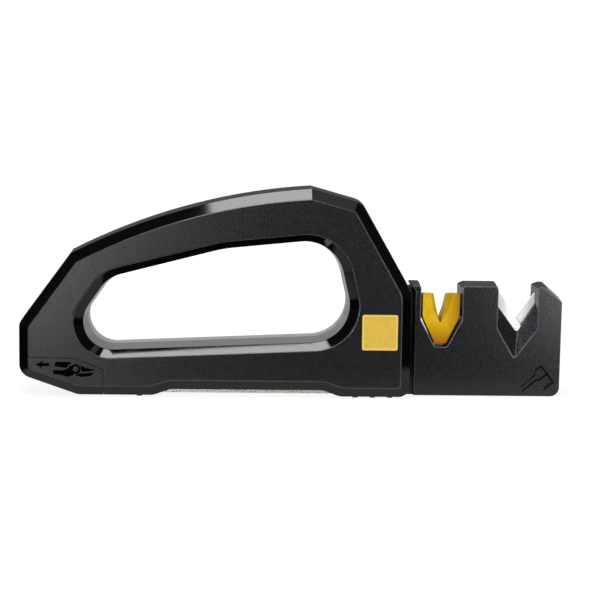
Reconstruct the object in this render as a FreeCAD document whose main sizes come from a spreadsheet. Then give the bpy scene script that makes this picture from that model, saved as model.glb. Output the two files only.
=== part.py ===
"""Hand-held pull-through sharpener: loop handle, rocking knife jaw, fixed V for axes, pull-out pruner file.

The frame: +X runs from the heel of the handle to the nose of the head, -Y is the front, +Z is up.
The ribs under the base stand on z = 0, and x = 0 and y = 0 are the middle of the length and the width.
Sketches measure x from the heel, so every piece is placed half the overall length to the left.
"""
import FreeCAD
import Part
import math
import os
import Sketcher
from dataclasses import dataclass, replace

SIZES = {
    # Handle, seen from the front: outline at the parting plane between the two shells
    "handle_length": 160.5,
    "handle_width": 34.0,
    "flank_width": 4.4,
    "flank_depth": 3.5,
    "draft_rise": 0.7,
    "edge_round": 0.4,
    "rim_round": 0.5,
    "heel_low": 8.2,
    "heel_toe": 22.2,
    "heel_high": 29.8,
    "heel_radius": 6.5,
    "heel_toe_radius": 6.0,
    "heel_high_radius": 6.0,
    "shoulder_x": 21.2,
    "shoulder_height": 58.9,
    "brow_bow": 5.2,
    "peak_setback": 42.2,
    "peak_height": 86.2,
    "brow_end_setback": 21.2,
    "brow_end_drop": 5.75,
    "brow_end_radius": 7.5,
    "nose_height": 43.8,
    "nose_radius": 13.0,
    "toe_radius": 5.2,
    "face_corner_radius": 1.2,
    "face_heel_radius": 4.0,
    "face_nose_radius": 8.0,
    # Base: two flats on ribs, with an arch between them that carries the diamond plate
    "rib_height": 0.5,
    "arch_rise": 2.6,
    "arch_start": 55.0,
    "arch_end_setback": 29.5,
    "arch_ramp": 6.9,
    "arch_radius": 8.0,
    # Finger loop: the outline of its edge beside the flank, and how far the flank flares
    "loop_heel_x": 38.1,
    "loop_heel_height": 30.6,
    "loop_heel_radius": 11.5,
    "loop_crest_x": 45.3,
    "loop_crest_height": 36.1,
    "loop_crest_radius": 14.3,
    "loop_bow_share": 0.664,
    "loop_bow_rise": 1.924,
    "loop_bow_radius": 51.6,
    "loop_brow_setback": 44.45,
    "loop_brow_share": 0.5568,
    "loop_brow_radius": 16.1,
    "loop_toe_setback": 41.55,
    "loop_toe_share": 0.4449,
    "loop_toe_radius": 15.55,
    "loop_flare_side": 3.2,
    "loop_flare_end": 4.0,
    # Hollow inside the shells and the bosses for the shell screws
    "face_wall": 2.8,
    "rim_wall": 4.6,
    "loop_wall": 3.2,
    "boss_radius": 3.6,
    "boss_heel_x": 15.5,
    "boss_heel_height": 33.0,
    "boss_shoulder_x": 33.0,
    "boss_shoulder_height": 53.0,
    "boss_crown_x": 82.0,
    "boss_crown_share": 0.806,
    "boss_peak_setback": 38.5,
    "boss_peak_share": 0.856,
    "boss_flank_setback": 19.9,
    "boss_flank_share": 0.696,
    "boss_base_x": 100.0,
    "boss_base_height": 12.0,
    "boss_neck_setback": 10.0,
    "boss_neck_depth": 11.0,
    "boss_neck_height": 13.0,
    "screw_radius": 1.5,
    "screw_head_radius": 2.8,
    "screw_head_height": 2.2,
    "screw_head_depth": 3.0,
    "screw_bite": 9.0,
    "socket_share": 0.5,
    "screw_clearance": 0.2,
    # Corner cap of the pull-out tool
    "seam_x": 34.9,
    "seam_low": 11.4,
    "seam_knee_x": 23.7,
    "seam_height": 16.1,
    "seam_start_x": 5.6,
    "seam_crown": 20.4,
    "seam_gap": 0.2,
    "cap_wall": 3.4,
    "hub_half": 4.6,
    "spigot_end": 43.5,
    "spigot_half": 8.5,
    "spigot_height": 5.4,
    "spigot_clearance": 0.3,
    "keeper_length": 4.0,
    # Pruner file and the grommet that grips it
    "file_height": 8.1,
    "file_radius": 2.0,
    "file_start": 11.0,
    "file_end": 86.0,
    "file_flat_start": 54.0,
    "file_flat_height": 0.6,
    "file_tip_radius": 1.2,
    "file_tip_length": 16.0,
    "file_room": 0.7,
    "file_pin_radius": 0.8,
    "file_pin_x": 17.5,
    "grommet_start": 46.6,
    "grommet_length": 4.0,
    "grommet_wall": 1.5,
    "grommet_fit": 0.05,
    "bulkhead_wall": 1.6,
    # Diamond plate, adhesive, foot pads and badge
    "plate_inset": 3.0,
    "plate_width": 25.0,
    "plate_thickness": 1.25,
    "plate_room": 0.2,
    "plate_corner": 0.9,
    "adhesive_thickness": 0.25,
    "adhesive_margin": 1.0,
    "pad_thickness": 1.5,
    "pad_half_width": 12.5,
    "heel_pad_start": 38.0,
    "heel_pad_end": 53.6,
    "heel_rib_x": 49.2,
    "toe_pad_setback": 26.9,
    "toe_pad_length": 21.4,
    "toe_rib_inset": 3.9,
    "rib_pitch": 7.15,
    "rib_width": 2.1,
    "badge_setback": 13.7,
    "badge_height": 27.6,
    "badge_side": 14.6,
    "badge_thickness": 1.2,
    "badge_sink": 0.15,
    "badge_corner": 0.9,
    "badge_rim": 0.9,
    "badge_rim_depth": 0.25,
    # Head: two halves with a neck that the shells clamp
    "head_width": 18.0,
    "head_groove": 1.4,
    "head_rise": 2.2,
    "head_crown": 1.5,
    "first_post": 2.35,
    "middle_post": 14.75,
    "nose_post": 9.9,
    "bevel_run": 7.05,
    "bevel_drop": 6.2,
    "head_toe_radius": 3.7,
    "head_post_radius": 1.2,
    "head_edge_round": 0.5,
    "neck_width": 13.0,
    "neck_length": 15.0,
    "neck_low": 7.0,
    "neck_depth": 6.0,
    "collar_length": 3.9,
    "collar_depth": 1.0,
    "neck_overlap": 0.5,
    "neck_clearance": 0.15,
    # Slot and rocker of the knife jaw
    "jaw_half_width": 8.55,
    "jaw_straight": 13.9,
    "jaw_depth": 25.2,
    "jaw_floor_half": 2.4,
    "jaw_round": 1.5,
    "jaw_gap": 0.4,
    "jaw_side_gap": 0.8,
    "rocker_width": 14.0,
    "rocker_drop": 3.0,
    "rocker_swing": 7.0,
    "rocker_bevel": 0.6,
    "mouth_half": 3.0,
    "throat_half": 1.9,
    "throat_depth": 9.1,
    "notch_depth": 16.5,
    "notch_flare": 1.5,
    "notch_flare_depth": 2.6,
    "pivot_depth": 11.3,
    "pivot_radius": 2.0,
    "pivot_fit": 0.05,
    "pivot_bite": 3.2,
    "pivot_press": 2.4,
    "pivot_end_gap": 0.3,
    "rocker_pin_radius": 1.0,
    "rocker_pin_length": 9.0,
    "rocker_pin_offset": 6.0,
    "rocker_pin_depth": 5.0,
    "keel_pin_depth": 20.8,
    "carbide_depth": 15.4,
    "carbide_slope_run": 2.0,
    "carbide_slope_rise": 4.8,
    "carbide_reach": 5.0,
    "carbide_tail": 3.0,
    "carbide_width": 3.0,
    "carbide_thickness": 1.5,
    # Fixed V for axes and its ceramic plates
    "axe_half_width": 8.3,
    "axe_straight": 17.8,
    "axe_depth": 30.2,
    "axe_apex_round": 1.0,
    "axe_relief_lift": 10.3,
    "axe_relief_end": 2.4,
    "axe_root_shift": 0.9,
    "axe_mouth_shift": 1.1,
    "ceramic_depth": 14.5,
    "ceramic_reach": 16.0,
    "ceramic_tail": 4.0,
    "ceramic_width": 5.5,
    "ceramic_thickness": 2.1,
    "plate_seat": 0.1,
    # Head screws
    "head_screw_depth": 10.0,
    "head_screw_height": 11.0,
    "nose_screw_setback": 5.6,
    "nose_screw_height": 20.0,
    "head_screw_radius": 1.25,
    "head_screw_head_radius": 2.3,
    "head_screw_head_height": 1.8,
    "head_screw_head_depth": 2.4,
    "head_screw_bite": 6.0,
    # How far a cutting sketch reaches past the solid that it cuts
    "overcut": 5.0,
}


class Size:
    """A length that keeps the spreadsheet expression it comes from."""

    def __init__(self, value, text):
        self.value = float(value)
        self.text = text

    @staticmethod
    def of(other):
        return other if isinstance(other, Size) else Size(other, repr(float(other)))

    def __add__(self, other):
        other = Size.of(other)
        return Size(self.value + other.value, f"({self.text} + {other.text})")

    def __sub__(self, other):
        other = Size.of(other)
        return Size(self.value - other.value, f"({self.text} - {other.text})")

    def __mul__(self, other):
        other = Size.of(other)
        return Size(self.value * other.value, f"{self.text} * {other.text}")

    def __truediv__(self, other):
        other = Size.of(other)
        return Size(self.value / other.value, f"{self.text} / ({other.text})")

    def __neg__(self):
        return Size(-self.value, f"(0 - {self.text})")

    __radd__ = __add__
    __rmul__ = __mul__

    def __rsub__(self, other):
        return Size.of(other) - self

    def root(self):
        return Size(math.sqrt(self.value), f"sqrt({self.text})")

    def tangent(self):
        """The tangent of this size, read as degrees."""
        return Size(math.tan(math.radians(self.value)), f"tan({self.text} * 1 deg)")


def size(alias):
    return Size(SIZES[alias], f"sizes.{alias}")


ZERO = Size(0.0, "0")
doc = FreeCAD.newDocument("sharpener")
sheet = doc.addObject("Spreadsheet::Sheet", "sizes")
for row, (alias, number) in enumerate(SIZES.items(), start=1):
    sheet.set(f"A{row}", alias)
    sheet.set(f"B{row}", str(number))
    sheet.setAlias(f"B{row}", alias)
doc.recompute()


def before_end(alias):
    """A place measured back from the nose end of the handle."""
    return size("handle_length") - size(alias)


def of_peak(alias):
    """A height that is a share of the handle's peak."""
    return size("peak_height") * size(alias)


def below_top(alias):
    """A height measured down from the top of the head."""
    return head_height - size(alias)


# Places along the head, from the handle to the nose
head_start = size("handle_length") + size("head_groove")
jaw_x = head_start + size("first_post") + size("jaw_half_width")
middle_post_x = jaw_x + size("jaw_half_width") + size("middle_post") / 2
axe_x = middle_post_x + size("middle_post") / 2 + size("axe_half_width")
overall_length = axe_x + size("axe_half_width") + size("nose_post")
head_height = size("nose_height") + size("head_rise")
rocker_top = below_top("rocker_drop")

# Sizes that several pieces share
heel_offset = overall_length / 2
half_width = size("handle_width") / 2
rim_depth = half_width - size("flank_depth")
cavity_depth = half_width - size("face_wall")
arch_height = size("rib_height") + size("arch_rise")
arch_end = before_end("arch_end_setback")
brow_end_height = size("peak_height") - size("brow_end_drop")
plate_start = size("arch_start") + size("plate_inset")
plate_length = arch_end - size("plate_inset") - plate_start
toe_pad_start = before_end("toe_pad_setback")
toe_pad_end = toe_pad_start + size("toe_pad_length")
head_half = size("head_width") / 2
neck_half = size("neck_width") / 2
rocker_half = size("rocker_width") / 2
overcut = size("overcut")


@dataclass
class Spot:
    """A corner of an outline, or with disc set, a circle that the outline wraps.

    radius rounds the corner or is the circle's. bow is how far the next edge bulges outwards.
    """

    x: Size
    z: Size
    radius: Size = None
    disc: bool = False
    bow: Size = None


def spot(x, z, radius=None, bow=None):
    return Spot(Size.of(x), Size.of(z), radius, False, bow)


def disc(x, z, radius):
    return Spot(Size.of(x), Size.of(z), radius, True)


def rectangle(left, low, right, high, radius=None):
    corners = ((left, low), (right, low), (right, high), (left, high))
    return [spot(x, z, radius) for x, z in corners]


def direction(start, end):
    """Unit vector from one corner to the next."""
    run = end.x - start.x
    rise = end.z - start.z
    length = (run * run + rise * rise).root()
    return run / length, rise / length


def inset(spots, distances):
    """Move each edge of a counter-clockwise outline inwards by its own distance."""
    moved = []
    for index, here in enumerate(spots):
        before = direction(spots[index - 1], here)
        after = direction(here, spots[(index + 1) % len(spots)])
        cross = before[0] * after[1] - before[1] * after[0]
        first = Size.of(distances[index - 1])
        second = Size.of(distances[index])
        shift_x = (first * after[0] - second * before[0]) / cross
        shift_z = (first * after[1] - second * before[1]) / cross
        moved.append(replace(here, x=here.x + shift_x, z=here.z + shift_z))
    return moved


def new_body(name):
    body = doc.addObject("PartDesign::Body", name)
    body.Label = name
    body.setExpression("Placement.Base.x", (-heel_offset).text)
    return body


def tangent_line(start, end):
    """Ends and heading of the edge between two spots, touching any circles from outside."""
    near = start.radius.value if start.disc else 0.0
    far = end.radius.value if end.disc else 0.0
    run = end.x.value - start.x.value
    rise = end.z.value - start.z.value
    heading = math.atan2(rise, run) - math.asin((far - near) / math.hypot(run, rise))
    left = FreeCAD.Vector(-math.sin(heading), math.cos(heading), 0)
    first = FreeCAD.Vector(start.x.value, start.z.value, 0) - left * near
    last = FreeCAD.Vector(end.x.value, end.z.value, 0) - left * far
    return first, last, heading


def arc_between(centre, radius, first, last, leftward):
    """Arc from first to last round a centre, as a curve and the numbers of its two ends."""
    circle = Part.Circle(centre, FreeCAD.Vector(0, 0, 1), radius)
    ends = (first, last) if leftward else (last, first)
    angles = [math.atan2(end.y - centre.y, end.x - centre.x) for end in ends]
    if angles[1] < angles[0]:
        angles[1] += 2 * math.pi
    arc = Part.ArcOfCircle(circle, angles[0], angles[1])
    return arc, (1, 2) if leftward else (2, 1)


def draw_outline(sketch, spots):
    """Draw a closed outline and bind every place and radius in it to the sheet."""
    rules = []
    bound = []

    def bind(rule, length):
        bound.append((len(rules), length.text))
        rules.append(rule)

    count = len(spots)
    lines = [tangent_line(spots[i], spots[(i + 1) % count]) for i in range(count)]
    corners = []
    for index, here in enumerate(spots):
        incoming = lines[index - 1]
        outgoing = lines[index]
        if here.disc:
            centre = FreeCAD.Vector(here.x.value, here.z.value, 0)
            corners.append(arc_between(centre, here.radius.value, incoming[1], outgoing[0], True))
        elif here.radius is not None:
            turn = math.remainder(outgoing[2] - incoming[2], 2 * math.pi)
            reach = here.radius.value * math.tan(abs(turn) / 2)
            place = FreeCAD.Vector(here.x.value, here.z.value, 0)
            first = place - FreeCAD.Vector(math.cos(incoming[2]), math.sin(incoming[2]), 0) * reach
            last = place + FreeCAD.Vector(math.cos(outgoing[2]), math.sin(outgoing[2]), 0) * reach
            side = math.copysign(here.radius.value, turn)
            centre = first + FreeCAD.Vector(-math.sin(incoming[2]), math.cos(incoming[2]), 0) * side
            corners.append(arc_between(centre, here.radius.value, first, last, turn > 0))
            lines[index - 1] = (incoming[0], first, incoming[2])
            lines[index] = (last, outgoing[1], outgoing[2])
        else:
            corners.append(None)
    edges = []
    for index, here in enumerate(spots):
        first, last, heading = lines[index]
        if here.bow is None:
            edges.append(sketch.addGeometry(Part.LineSegment(first, last), False))
            continue
        chord = (last - first).Length
        radius = chord ** 2 / (8 * here.bow.value) + here.bow.value / 2
        left = FreeCAD.Vector(-math.sin(heading), math.cos(heading), 0)
        centre = (first + last) * 0.5 + left * (radius - here.bow.value)
        edge = sketch.addGeometry(arc_between(centre, radius, first, last, True)[0], False)
        edges.append(edge)
        after = spots[(index + 1) % count]
        run = after.x - here.x
        rise = after.z - here.z
        bow_radius = (run * run + rise * rise) / (8 * here.bow) + here.bow / 2
        bind(Sketcher.Constraint("Radius", edge, radius), bow_radius)
    for index, here in enumerate(spots):
        before = edges[index - 1]
        after = edges[index]
        if corners[index] is None:
            holder, point = before, 2
            rules.append(Sketcher.Constraint("Coincident", before, 2, after, 1))
        else:
            curve, (start, end) = corners[index]
            arc = sketch.addGeometry(curve, False)
            rules.append(Sketcher.Constraint("Tangent", before, 2, arc, start))
            rules.append(Sketcher.Constraint("Tangent", arc, end, after, 1))
            bind(Sketcher.Constraint("Radius", arc, here.radius.value), here.radius)
            holder, point = arc, 3
            if not here.disc:
                mark = FreeCAD.Vector(here.x.value, here.z.value, 0)
                holder, point = sketch.addGeometry(Part.Point(mark), True), 1
                rules.append(Sketcher.Constraint("PointOnObject", holder, 1, before))
                rules.append(Sketcher.Constraint("PointOnObject", holder, 1, after))
        bind(Sketcher.Constraint("DistanceX", -1, 1, holder, point, here.x.value), here.x)
        bind(Sketcher.Constraint("DistanceY", -1, 1, holder, point, here.z.value), here.z)
    numbers = sketch.addConstraint(rules)
    for order, text in bound:
        sketch.setExpression(f"Constraints[{numbers[order]}]", text)


def draw_circle(sketch, x, z, radius):
    circle = Part.Circle(FreeCAD.Vector(x.value, z.value, 0), FreeCAD.Vector(0, 0, 1), radius.value)
    ring = sketch.addGeometry(circle, False)
    rules = [
        (Sketcher.Constraint("Radius", ring, radius.value), radius),
        (Sketcher.Constraint("DistanceX", -1, 1, ring, 3, x.value), x),
        (Sketcher.Constraint("DistanceY", -1, 1, ring, 3, z.value), z),
    ]
    for rule, length in rules:
        number = sketch.addConstraint(rule)
        sketch.setExpression(f"Constraints[{number}]", length.text)


def new_sketch(body, name, y=ZERO, role="XZ_Plane"):
    """A sketch on an origin plane of its body; on the XZ plane it lies at the given y."""
    sketch = body.newObject("Sketcher::SketchObject", f"{body.Label}_{name}")
    plane = next(item for item in body.Origin.OriginFeatures if item.Role == role)
    sketch.AttachmentSupport = [(plane, "")]
    sketch.MapMode = "FlatFace"
    sketch.setExpression("AttachmentOffset.Base.z", (-y).text)
    return sketch


def outline(body, name, spots, y=ZERO):
    sketch = new_sketch(body, name, y)
    draw_outline(sketch, spots)
    return sketch


def loft(body, kind, name, sections):
    feature = body.newObject(f"PartDesign::{kind}", f"{body.Label}_{name}")
    feature.Profile = sections[0]
    feature.Sections = sections[1:]
    feature.Ruled = True
    doc.recompute()
    return feature


def pad(body, name, sketch, length, towards_rear=False, midplane=False):
    feature = body.newObject("PartDesign::Pad", f"{body.Label}_{name}")
    feature.Profile = sketch
    feature.setExpression("Length", length.text)
    feature.Reversed = towards_rear
    feature.Midplane = midplane
    doc.recompute()
    return feature


def pocket(body, name, sketch, length, towards_rear=False, midplane=False):
    """Cut a sketch into its body, and make sure that something was cut."""
    before = body.Shape.Volume
    feature = body.newObject("PartDesign::Pocket", f"{body.Label}_{name}")
    feature.Profile = sketch
    feature.setExpression("Length", length.text)
    feature.Reversed = not towards_rear
    feature.Midplane = midplane
    doc.recompute()
    if body.Shape.Volume > before - 1e-6:
        raise RuntimeError(f"{feature.Name} cuts nothing")
    return feature


def round_edges(body, name, keep, radius):
    """Fillet the edges of the body's tip that keep() picks."""
    tip = body.Tip
    names = [f"Edge{i}" for i, edge in enumerate(tip.Shape.Edges, start=1) if keep(edge)]
    feature = body.newObject("PartDesign::Fillet", f"{body.Label}_{name}")
    feature.Base = (tip, names)
    feature.setExpression("Radius", radius.text)
    doc.recompute()
    if not feature.isValid():
        raise RuntimeError(f"{feature.Name} rounds nothing")
    return feature


def round_plane(body, name, y, radius):
    """Fillet every edge that lies in the plane at the given y."""

    def on_plane(edge):
        bounds = edge.BoundBox
        return abs(bounds.YMin - y.value) < 1e-4 and abs(bounds.YMax - y.value) < 1e-4

    return round_edges(body, name, on_plane, radius)


def place(thing, x, y, z):
    """Put a primitive at x from the heel, y and z."""
    thing.setExpression("Placement.Base.x", (Size.of(x) - heel_offset).text)
    thing.setExpression("Placement.Base.y", Size.of(y).text)
    thing.setExpression("Placement.Base.z", Size.of(z).text)


TURNS = {
    "x": FreeCAD.Rotation(FreeCAD.Vector(0, 1, 0), 90),
    "y": FreeCAD.Rotation(FreeCAD.Vector(1, 0, 0), -90),
    "z": FreeCAD.Rotation(),
}


def cylinder(name, axis, radius, length, x, y, z):
    """A cylinder that starts at a place and runs along +x, +y or +z."""
    thing = doc.addObject("Part::Cylinder", name)
    thing.Placement = FreeCAD.Placement(FreeCAD.Vector(), TURNS[axis])
    thing.setExpression("Radius", Size.of(radius).text)
    thing.setExpression("Height", Size.of(length).text)
    place(thing, x, y, z)
    return thing


def box(name, x, y, z, length, width, height):
    thing = doc.addObject("Part::Box", name)
    thing.setExpression("Length", Size.of(length).text)
    thing.setExpression("Width", Size.of(width).text)
    thing.setExpression("Height", Size.of(height).text)
    place(thing, x, y, z)
    return thing


def fuse(name, pieces):
    if len(pieces) == 1:
        return pieces[0]
    thing = doc.addObject("Part::MultiFuse", name)
    thing.Shapes = pieces
    return thing


def cut(name, base, tools):
    thing = doc.addObject("Part::Cut", name)
    thing.Base = base
    thing.Tool = fuse(f"{name}_cuts", tools)
    thing.Label = name
    return thing


def group(name, pieces):
    thing = doc.addObject("Part::Compound", name)
    thing.Links = pieces
    thing.Label = name
    return thing


# Handle shells
SOLE_EDGES = range(1, 6)


def handle_outline():
    """Outline of the shells at the parting plane, from the heel along the base."""
    sole = size("rib_height")
    bend = size("arch_radius")
    return [
        spot(0, size("heel_low"), size("heel_radius")),
        spot(size("heel_toe"), sole, size("heel_toe_radius")),
        spot(size("arch_start"), sole, bend),
        spot(size("arch_start") + size("arch_ramp"), arch_height, bend),
        spot(arch_end - size("arch_ramp"), arch_height, bend),
        spot(arch_end, sole, bend),
        spot(size("handle_length"), sole, size("toe_radius")),
        spot(size("handle_length"), size("nose_height"), size("nose_radius")),
        spot(before_end("brow_end_setback"), brow_end_height, size("brow_end_radius")),
        spot(before_end("peak_setback"), size("peak_height"), bow=size("brow_bow")),
        spot(size("shoulder_x"), size("shoulder_height")),
        spot(0, size("heel_high"), size("heel_high_radius")),
    ]


HEEL, TOE, NOSE, BROW_END, HEEL_HIGH = 0, 6, 7, 8, 11


def rim_outline():
    """The parting outline drawn in by the draft, all but the flat base."""
    spots = handle_outline()
    draft = size("draft_rise")
    for index in (HEEL, TOE, NOSE, BROW_END, HEEL_HIGH):
        spots[index].radius = spots[index].radius - draft
    return inset(spots, [ZERO if edge in SOLE_EDGES else draft for edge in range(len(spots))])


def face_outline():
    """The outline of the flat side, inside the sloping flank."""
    spots = handle_outline()
    for index in (HEEL, TOE, BROW_END):
        spots[index].radius = size("face_corner_radius")
    spots[NOSE].radius = size("face_nose_radius")
    spots[HEEL_HIGH].radius = size("face_heel_radius")
    flank = size("flank_width")
    drafted = flank + size("draft_rise")
    return inset(spots, [flank if edge in SOLE_EDGES else drafted for edge in range(len(spots))])


def cavity_outline():
    spots = [replace(here, radius=None) for here in handle_outline()]
    return inset(spots, [size("rim_wall")] * len(spots))


def loop_outline(grow, stretch=ZERO):
    """The finger loop, grown all round and drawn out at its two ends."""
    heel_x = size("loop_heel_x") - stretch
    toe_x = before_end("loop_toe_setback") + stretch
    brow_x = before_end("loop_brow_setback") + stretch
    crest_x = size("loop_crest_x") - stretch
    bow_x = crest_x + (brow_x - crest_x) * size("loop_bow_share")
    crest_top = size("loop_crest_height") + size("loop_crest_radius")
    brow_top = of_peak("loop_brow_share") + size("loop_brow_radius")
    bow_top = crest_top + (brow_top - crest_top) * size("loop_bow_share") + size("loop_bow_rise")
    return [
        disc(heel_x, size("loop_heel_height"), size("loop_heel_radius") + grow),
        disc(toe_x, of_peak("loop_toe_share"), size("loop_toe_radius") + grow),
        disc(brow_x, of_peak("loop_brow_share"), size("loop_brow_radius") + grow),
        disc(bow_x, bow_top - size("loop_bow_radius"), size("loop_bow_radius") + grow),
        disc(crest_x, size("loop_crest_height"), size("loop_crest_radius") + grow),
    ]


def handle_form(body, side):
    """Drafted rim and sloping flank of one half; side is -1 in front and 1 behind."""
    sections = [
        outline(body, "parting", handle_outline()),
        outline(body, "rim", rim_outline(), side * rim_depth),
        outline(body, "face", face_outline(), side * half_width),
    ]
    loft(body, "AdditiveLoft", "form", sections)


def round_flank(body, side):
    """Soften the two edges of the sloping flank, all round the outside and the loop."""
    round_plane(body, "rim_round", side * rim_depth, size("rim_round"))
    round_plane(body, "face_round", side * half_width, size("edge_round"))


def cut_loop(body, side):
    flare = size("loop_flare_side")
    stretch = size("loop_flare_end") - flare
    sections = [
        outline(body, "loop_waist", loop_outline(-size("draft_rise"))),
        outline(body, "loop_rim", loop_outline(ZERO), side * rim_depth),
        outline(body, "loop_face", loop_outline(flare, stretch), side * half_width),
    ]
    loft(body, "SubtractiveLoft", "loop", sections)


def seam_spots(gap):
    """The cap's seam from the heel to under the base, drawn in towards the cap by a gap."""
    return [
        spot(0, size("seam_crown") - gap),
        spot(size("seam_start_x") - gap, size("seam_height") - gap),
        spot(size("seam_knee_x") - gap, size("seam_height") - gap),
        spot(size("seam_x") - gap, size("seam_low") - gap),
        spot(size("seam_x") - gap, -overcut),
    ]


def cap_zone():
    """All that lies on the cap's side of the seam."""
    seam = seam_spots(ZERO)
    return [spot(-overcut, -overcut)] + seam[::-1] + [spot(-overcut, seam[0].z)]


def beyond_cap_zone():
    """All that lies on the shells' side of the seam and its gap."""
    seam = seam_spots(size("seam_gap"))
    right = size("handle_length") + overcut
    high = size("peak_height") + size("brow_bow") + overcut
    corners = [spot(right, -overcut), spot(right, high), spot(-overcut, high), spot(-overcut, seam[0].z)]
    return seam[-1:] + corners + seam[:-1]


def neck_outline(grow):
    """The neck between the shells and the collar that fills the groove before the head."""
    start = before_end("collar_length") - grow
    end = head_start + size("neck_overlap")
    return [
        spot(before_end("neck_length") - grow, size("neck_low") - grow),
        spot(start, size("neck_low") - grow),
        spot(start, size("rib_height")),
        spot(end, size("rib_height")),
        spot(end, below_top("collar_depth") + grow),
        spot(start, below_top("collar_depth") + grow),
        spot(start, below_top("neck_depth") + grow),
        spot(before_end("neck_length") - grow, below_top("neck_depth") + grow),
    ]


BOSSES = {
    "heel": (size("boss_heel_x"), size("boss_heel_height")),
    "shoulder": (size("boss_shoulder_x"), size("boss_shoulder_height")),
    "crown": (size("boss_crown_x"), of_peak("boss_crown_share")),
    "peak": (before_end("boss_peak_setback"), of_peak("boss_peak_share")),
    "flank": (before_end("boss_flank_setback"), of_peak("boss_flank_share")),
    "base": (size("boss_base_x"), size("boss_base_height")),
    "neck_high": (before_end("boss_neck_setback"), below_top("boss_neck_depth")),
    "neck_low": (before_end("boss_neck_setback"), size("boss_neck_height")),
}

heel_floor = size("rib_height") + size("rim_wall")
cavity_floor = arch_height + size("rim_wall")
spigot_low = heel_floor + size("spigot_clearance")
spigot_high = spigot_low + size("spigot_height")
file_axis = size("file_height")
file_channel = size("file_radius") + size("file_room")
grommet_radius = size("file_radius") + size("grommet_wall")


def shell_body(name, side):
    """One half of the handle: a hollow moulding with screw bosses, file channel and guide ribs."""
    body = new_body(f"{name}_moulding")
    rear = side > 0
    handle_form(body, side)
    cut_loop(body, side)
    round_flank(body, side)
    hollow = new_sketch(body, "hollow")
    draw_outline(hollow, cavity_outline())
    draw_outline(hollow, loop_outline(size("loop_wall")))
    pocket(body, "cavity", hollow, cavity_depth, rear)
    bosses = new_sketch(body, "boss_rings")
    for x, z in BOSSES.values():
        draw_circle(bosses, x, z, size("boss_radius"))
    pad(body, "bosses", bosses, cavity_depth, rear)
    keeper_top = size("loop_heel_height") - size("loop_heel_radius") - size("loop_wall") / 2
    keeper = rectangle(
        size("spigot_end") - size("keeper_length"), spigot_high + size("spigot_clearance"),
        size("spigot_end"), keeper_top,
    )
    pad(body, "keeper", outline(body, "keeper_rib", keeper), size("spigot_half"), rear)
    channel = rectangle(
        size("seam_knee_x"), file_axis - file_channel, size("file_end") + size("file_room"), cavity_floor,
    )
    pocket(body, "file_channel", outline(body, "channel", channel), file_channel, rear)
    seat_depth = grommet_radius + size("bulkhead_wall")
    bulkhead = rectangle(
        size("grommet_start"), heel_floor - size("bulkhead_wall"),
        size("grommet_start") + size("grommet_length"), file_axis + seat_depth,
    )
    pad(body, "bulkhead", outline(body, "bulkhead_wall", bulkhead), seat_depth, rear)
    pocket(body, "cap_room", outline(body, "seam", cap_zone()), half_width + overcut, rear)
    slot = neck_outline(size("neck_clearance"))
    pocket(body, "neck_slot", outline(body, "neck", slot), neck_half + size("neck_clearance"), rear)
    return body


def base_recesses(name):
    """Cutters for the diamond plate and the foot pads in the base."""
    room = size("plate_room")
    plate_low = arch_height - size("adhesive_thickness") - size("plate_thickness") - overcut
    pad_low = -overcut
    pad_height = overcut + size("rib_height") + size("pad_thickness")
    pad_width = size("pad_half_width") * 2
    return [
        box(
            f"{name}_plate_recess", plate_start - room, -(size("plate_width") / 2 + room), plate_low,
            plate_length + room * 2, size("plate_width") + room * 2, arch_height - plate_low,
        ),
        box(
            f"{name}_heel_recess", size("heel_pad_start"), -size("pad_half_width"), pad_low,
            size("heel_pad_end") - size("heel_pad_start"), pad_width, pad_height,
        ),
        box(
            f"{name}_toe_recess", toe_pad_start, -size("pad_half_width"), pad_low,
            toe_pad_end - toe_pad_start, pad_width, pad_height,
        ),
    ]


def grommet_seat(name):
    return cylinder(
        f"{name}_grommet_seat", "x", grommet_radius, size("grommet_length"),
        size("grommet_start"), ZERO, file_axis,
    )


def shell_screw_bite(boss):
    """How far a shell screw reaches in front of the parting plane; the neck takes longer ones."""
    return neck_half + size("screw_bite") / 2 if boss.startswith("neck") else size("screw_bite")


def front_shell():
    """The front half, with blind pilot holes and a recess for the badge."""
    name = "front_shell"
    pilots = []
    for boss, (x, z) in BOSSES.items():
        bite = shell_screw_bite(boss)
        pilots.append(cylinder(f"{name}_{boss}_pilot", "y", size("screw_radius"), bite, x, -bite, z))
    half_side = size("badge_side") / 2
    depth = size("badge_thickness") + size("badge_sink")
    badge_room = box(
        f"{name}_badge_recess", before_end("badge_setback") - half_side, -half_width - overcut,
        size("badge_height") - half_side, size("badge_side"), overcut + depth, size("badge_side"),
    )
    tools = pilots + base_recesses(name) + [grommet_seat(name), badge_room]
    return cut(name, shell_body(name, -1), tools)


screw_seat = half_width - size("screw_head_depth")


def rear_shell():
    """The rear half, with clearance holes and sunk seats for the screw heads."""
    name = "rear_shell"
    hole = size("screw_radius") + size("screw_clearance")
    sink = size("screw_head_radius") + size("screw_clearance")
    depth = overcut + size("screw_head_depth")
    tools = base_recesses(name) + [grommet_seat(name)]
    for boss, (x, z) in BOSSES.items():
        tools.append(cylinder(f"{name}_{boss}_hole", "y", hole, half_width, x, ZERO, z))
        tools.append(cylinder(f"{name}_{boss}_sink", "y", sink, depth, x, screw_seat, z))
    return cut(name, shell_body(name, 1), tools)


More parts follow.
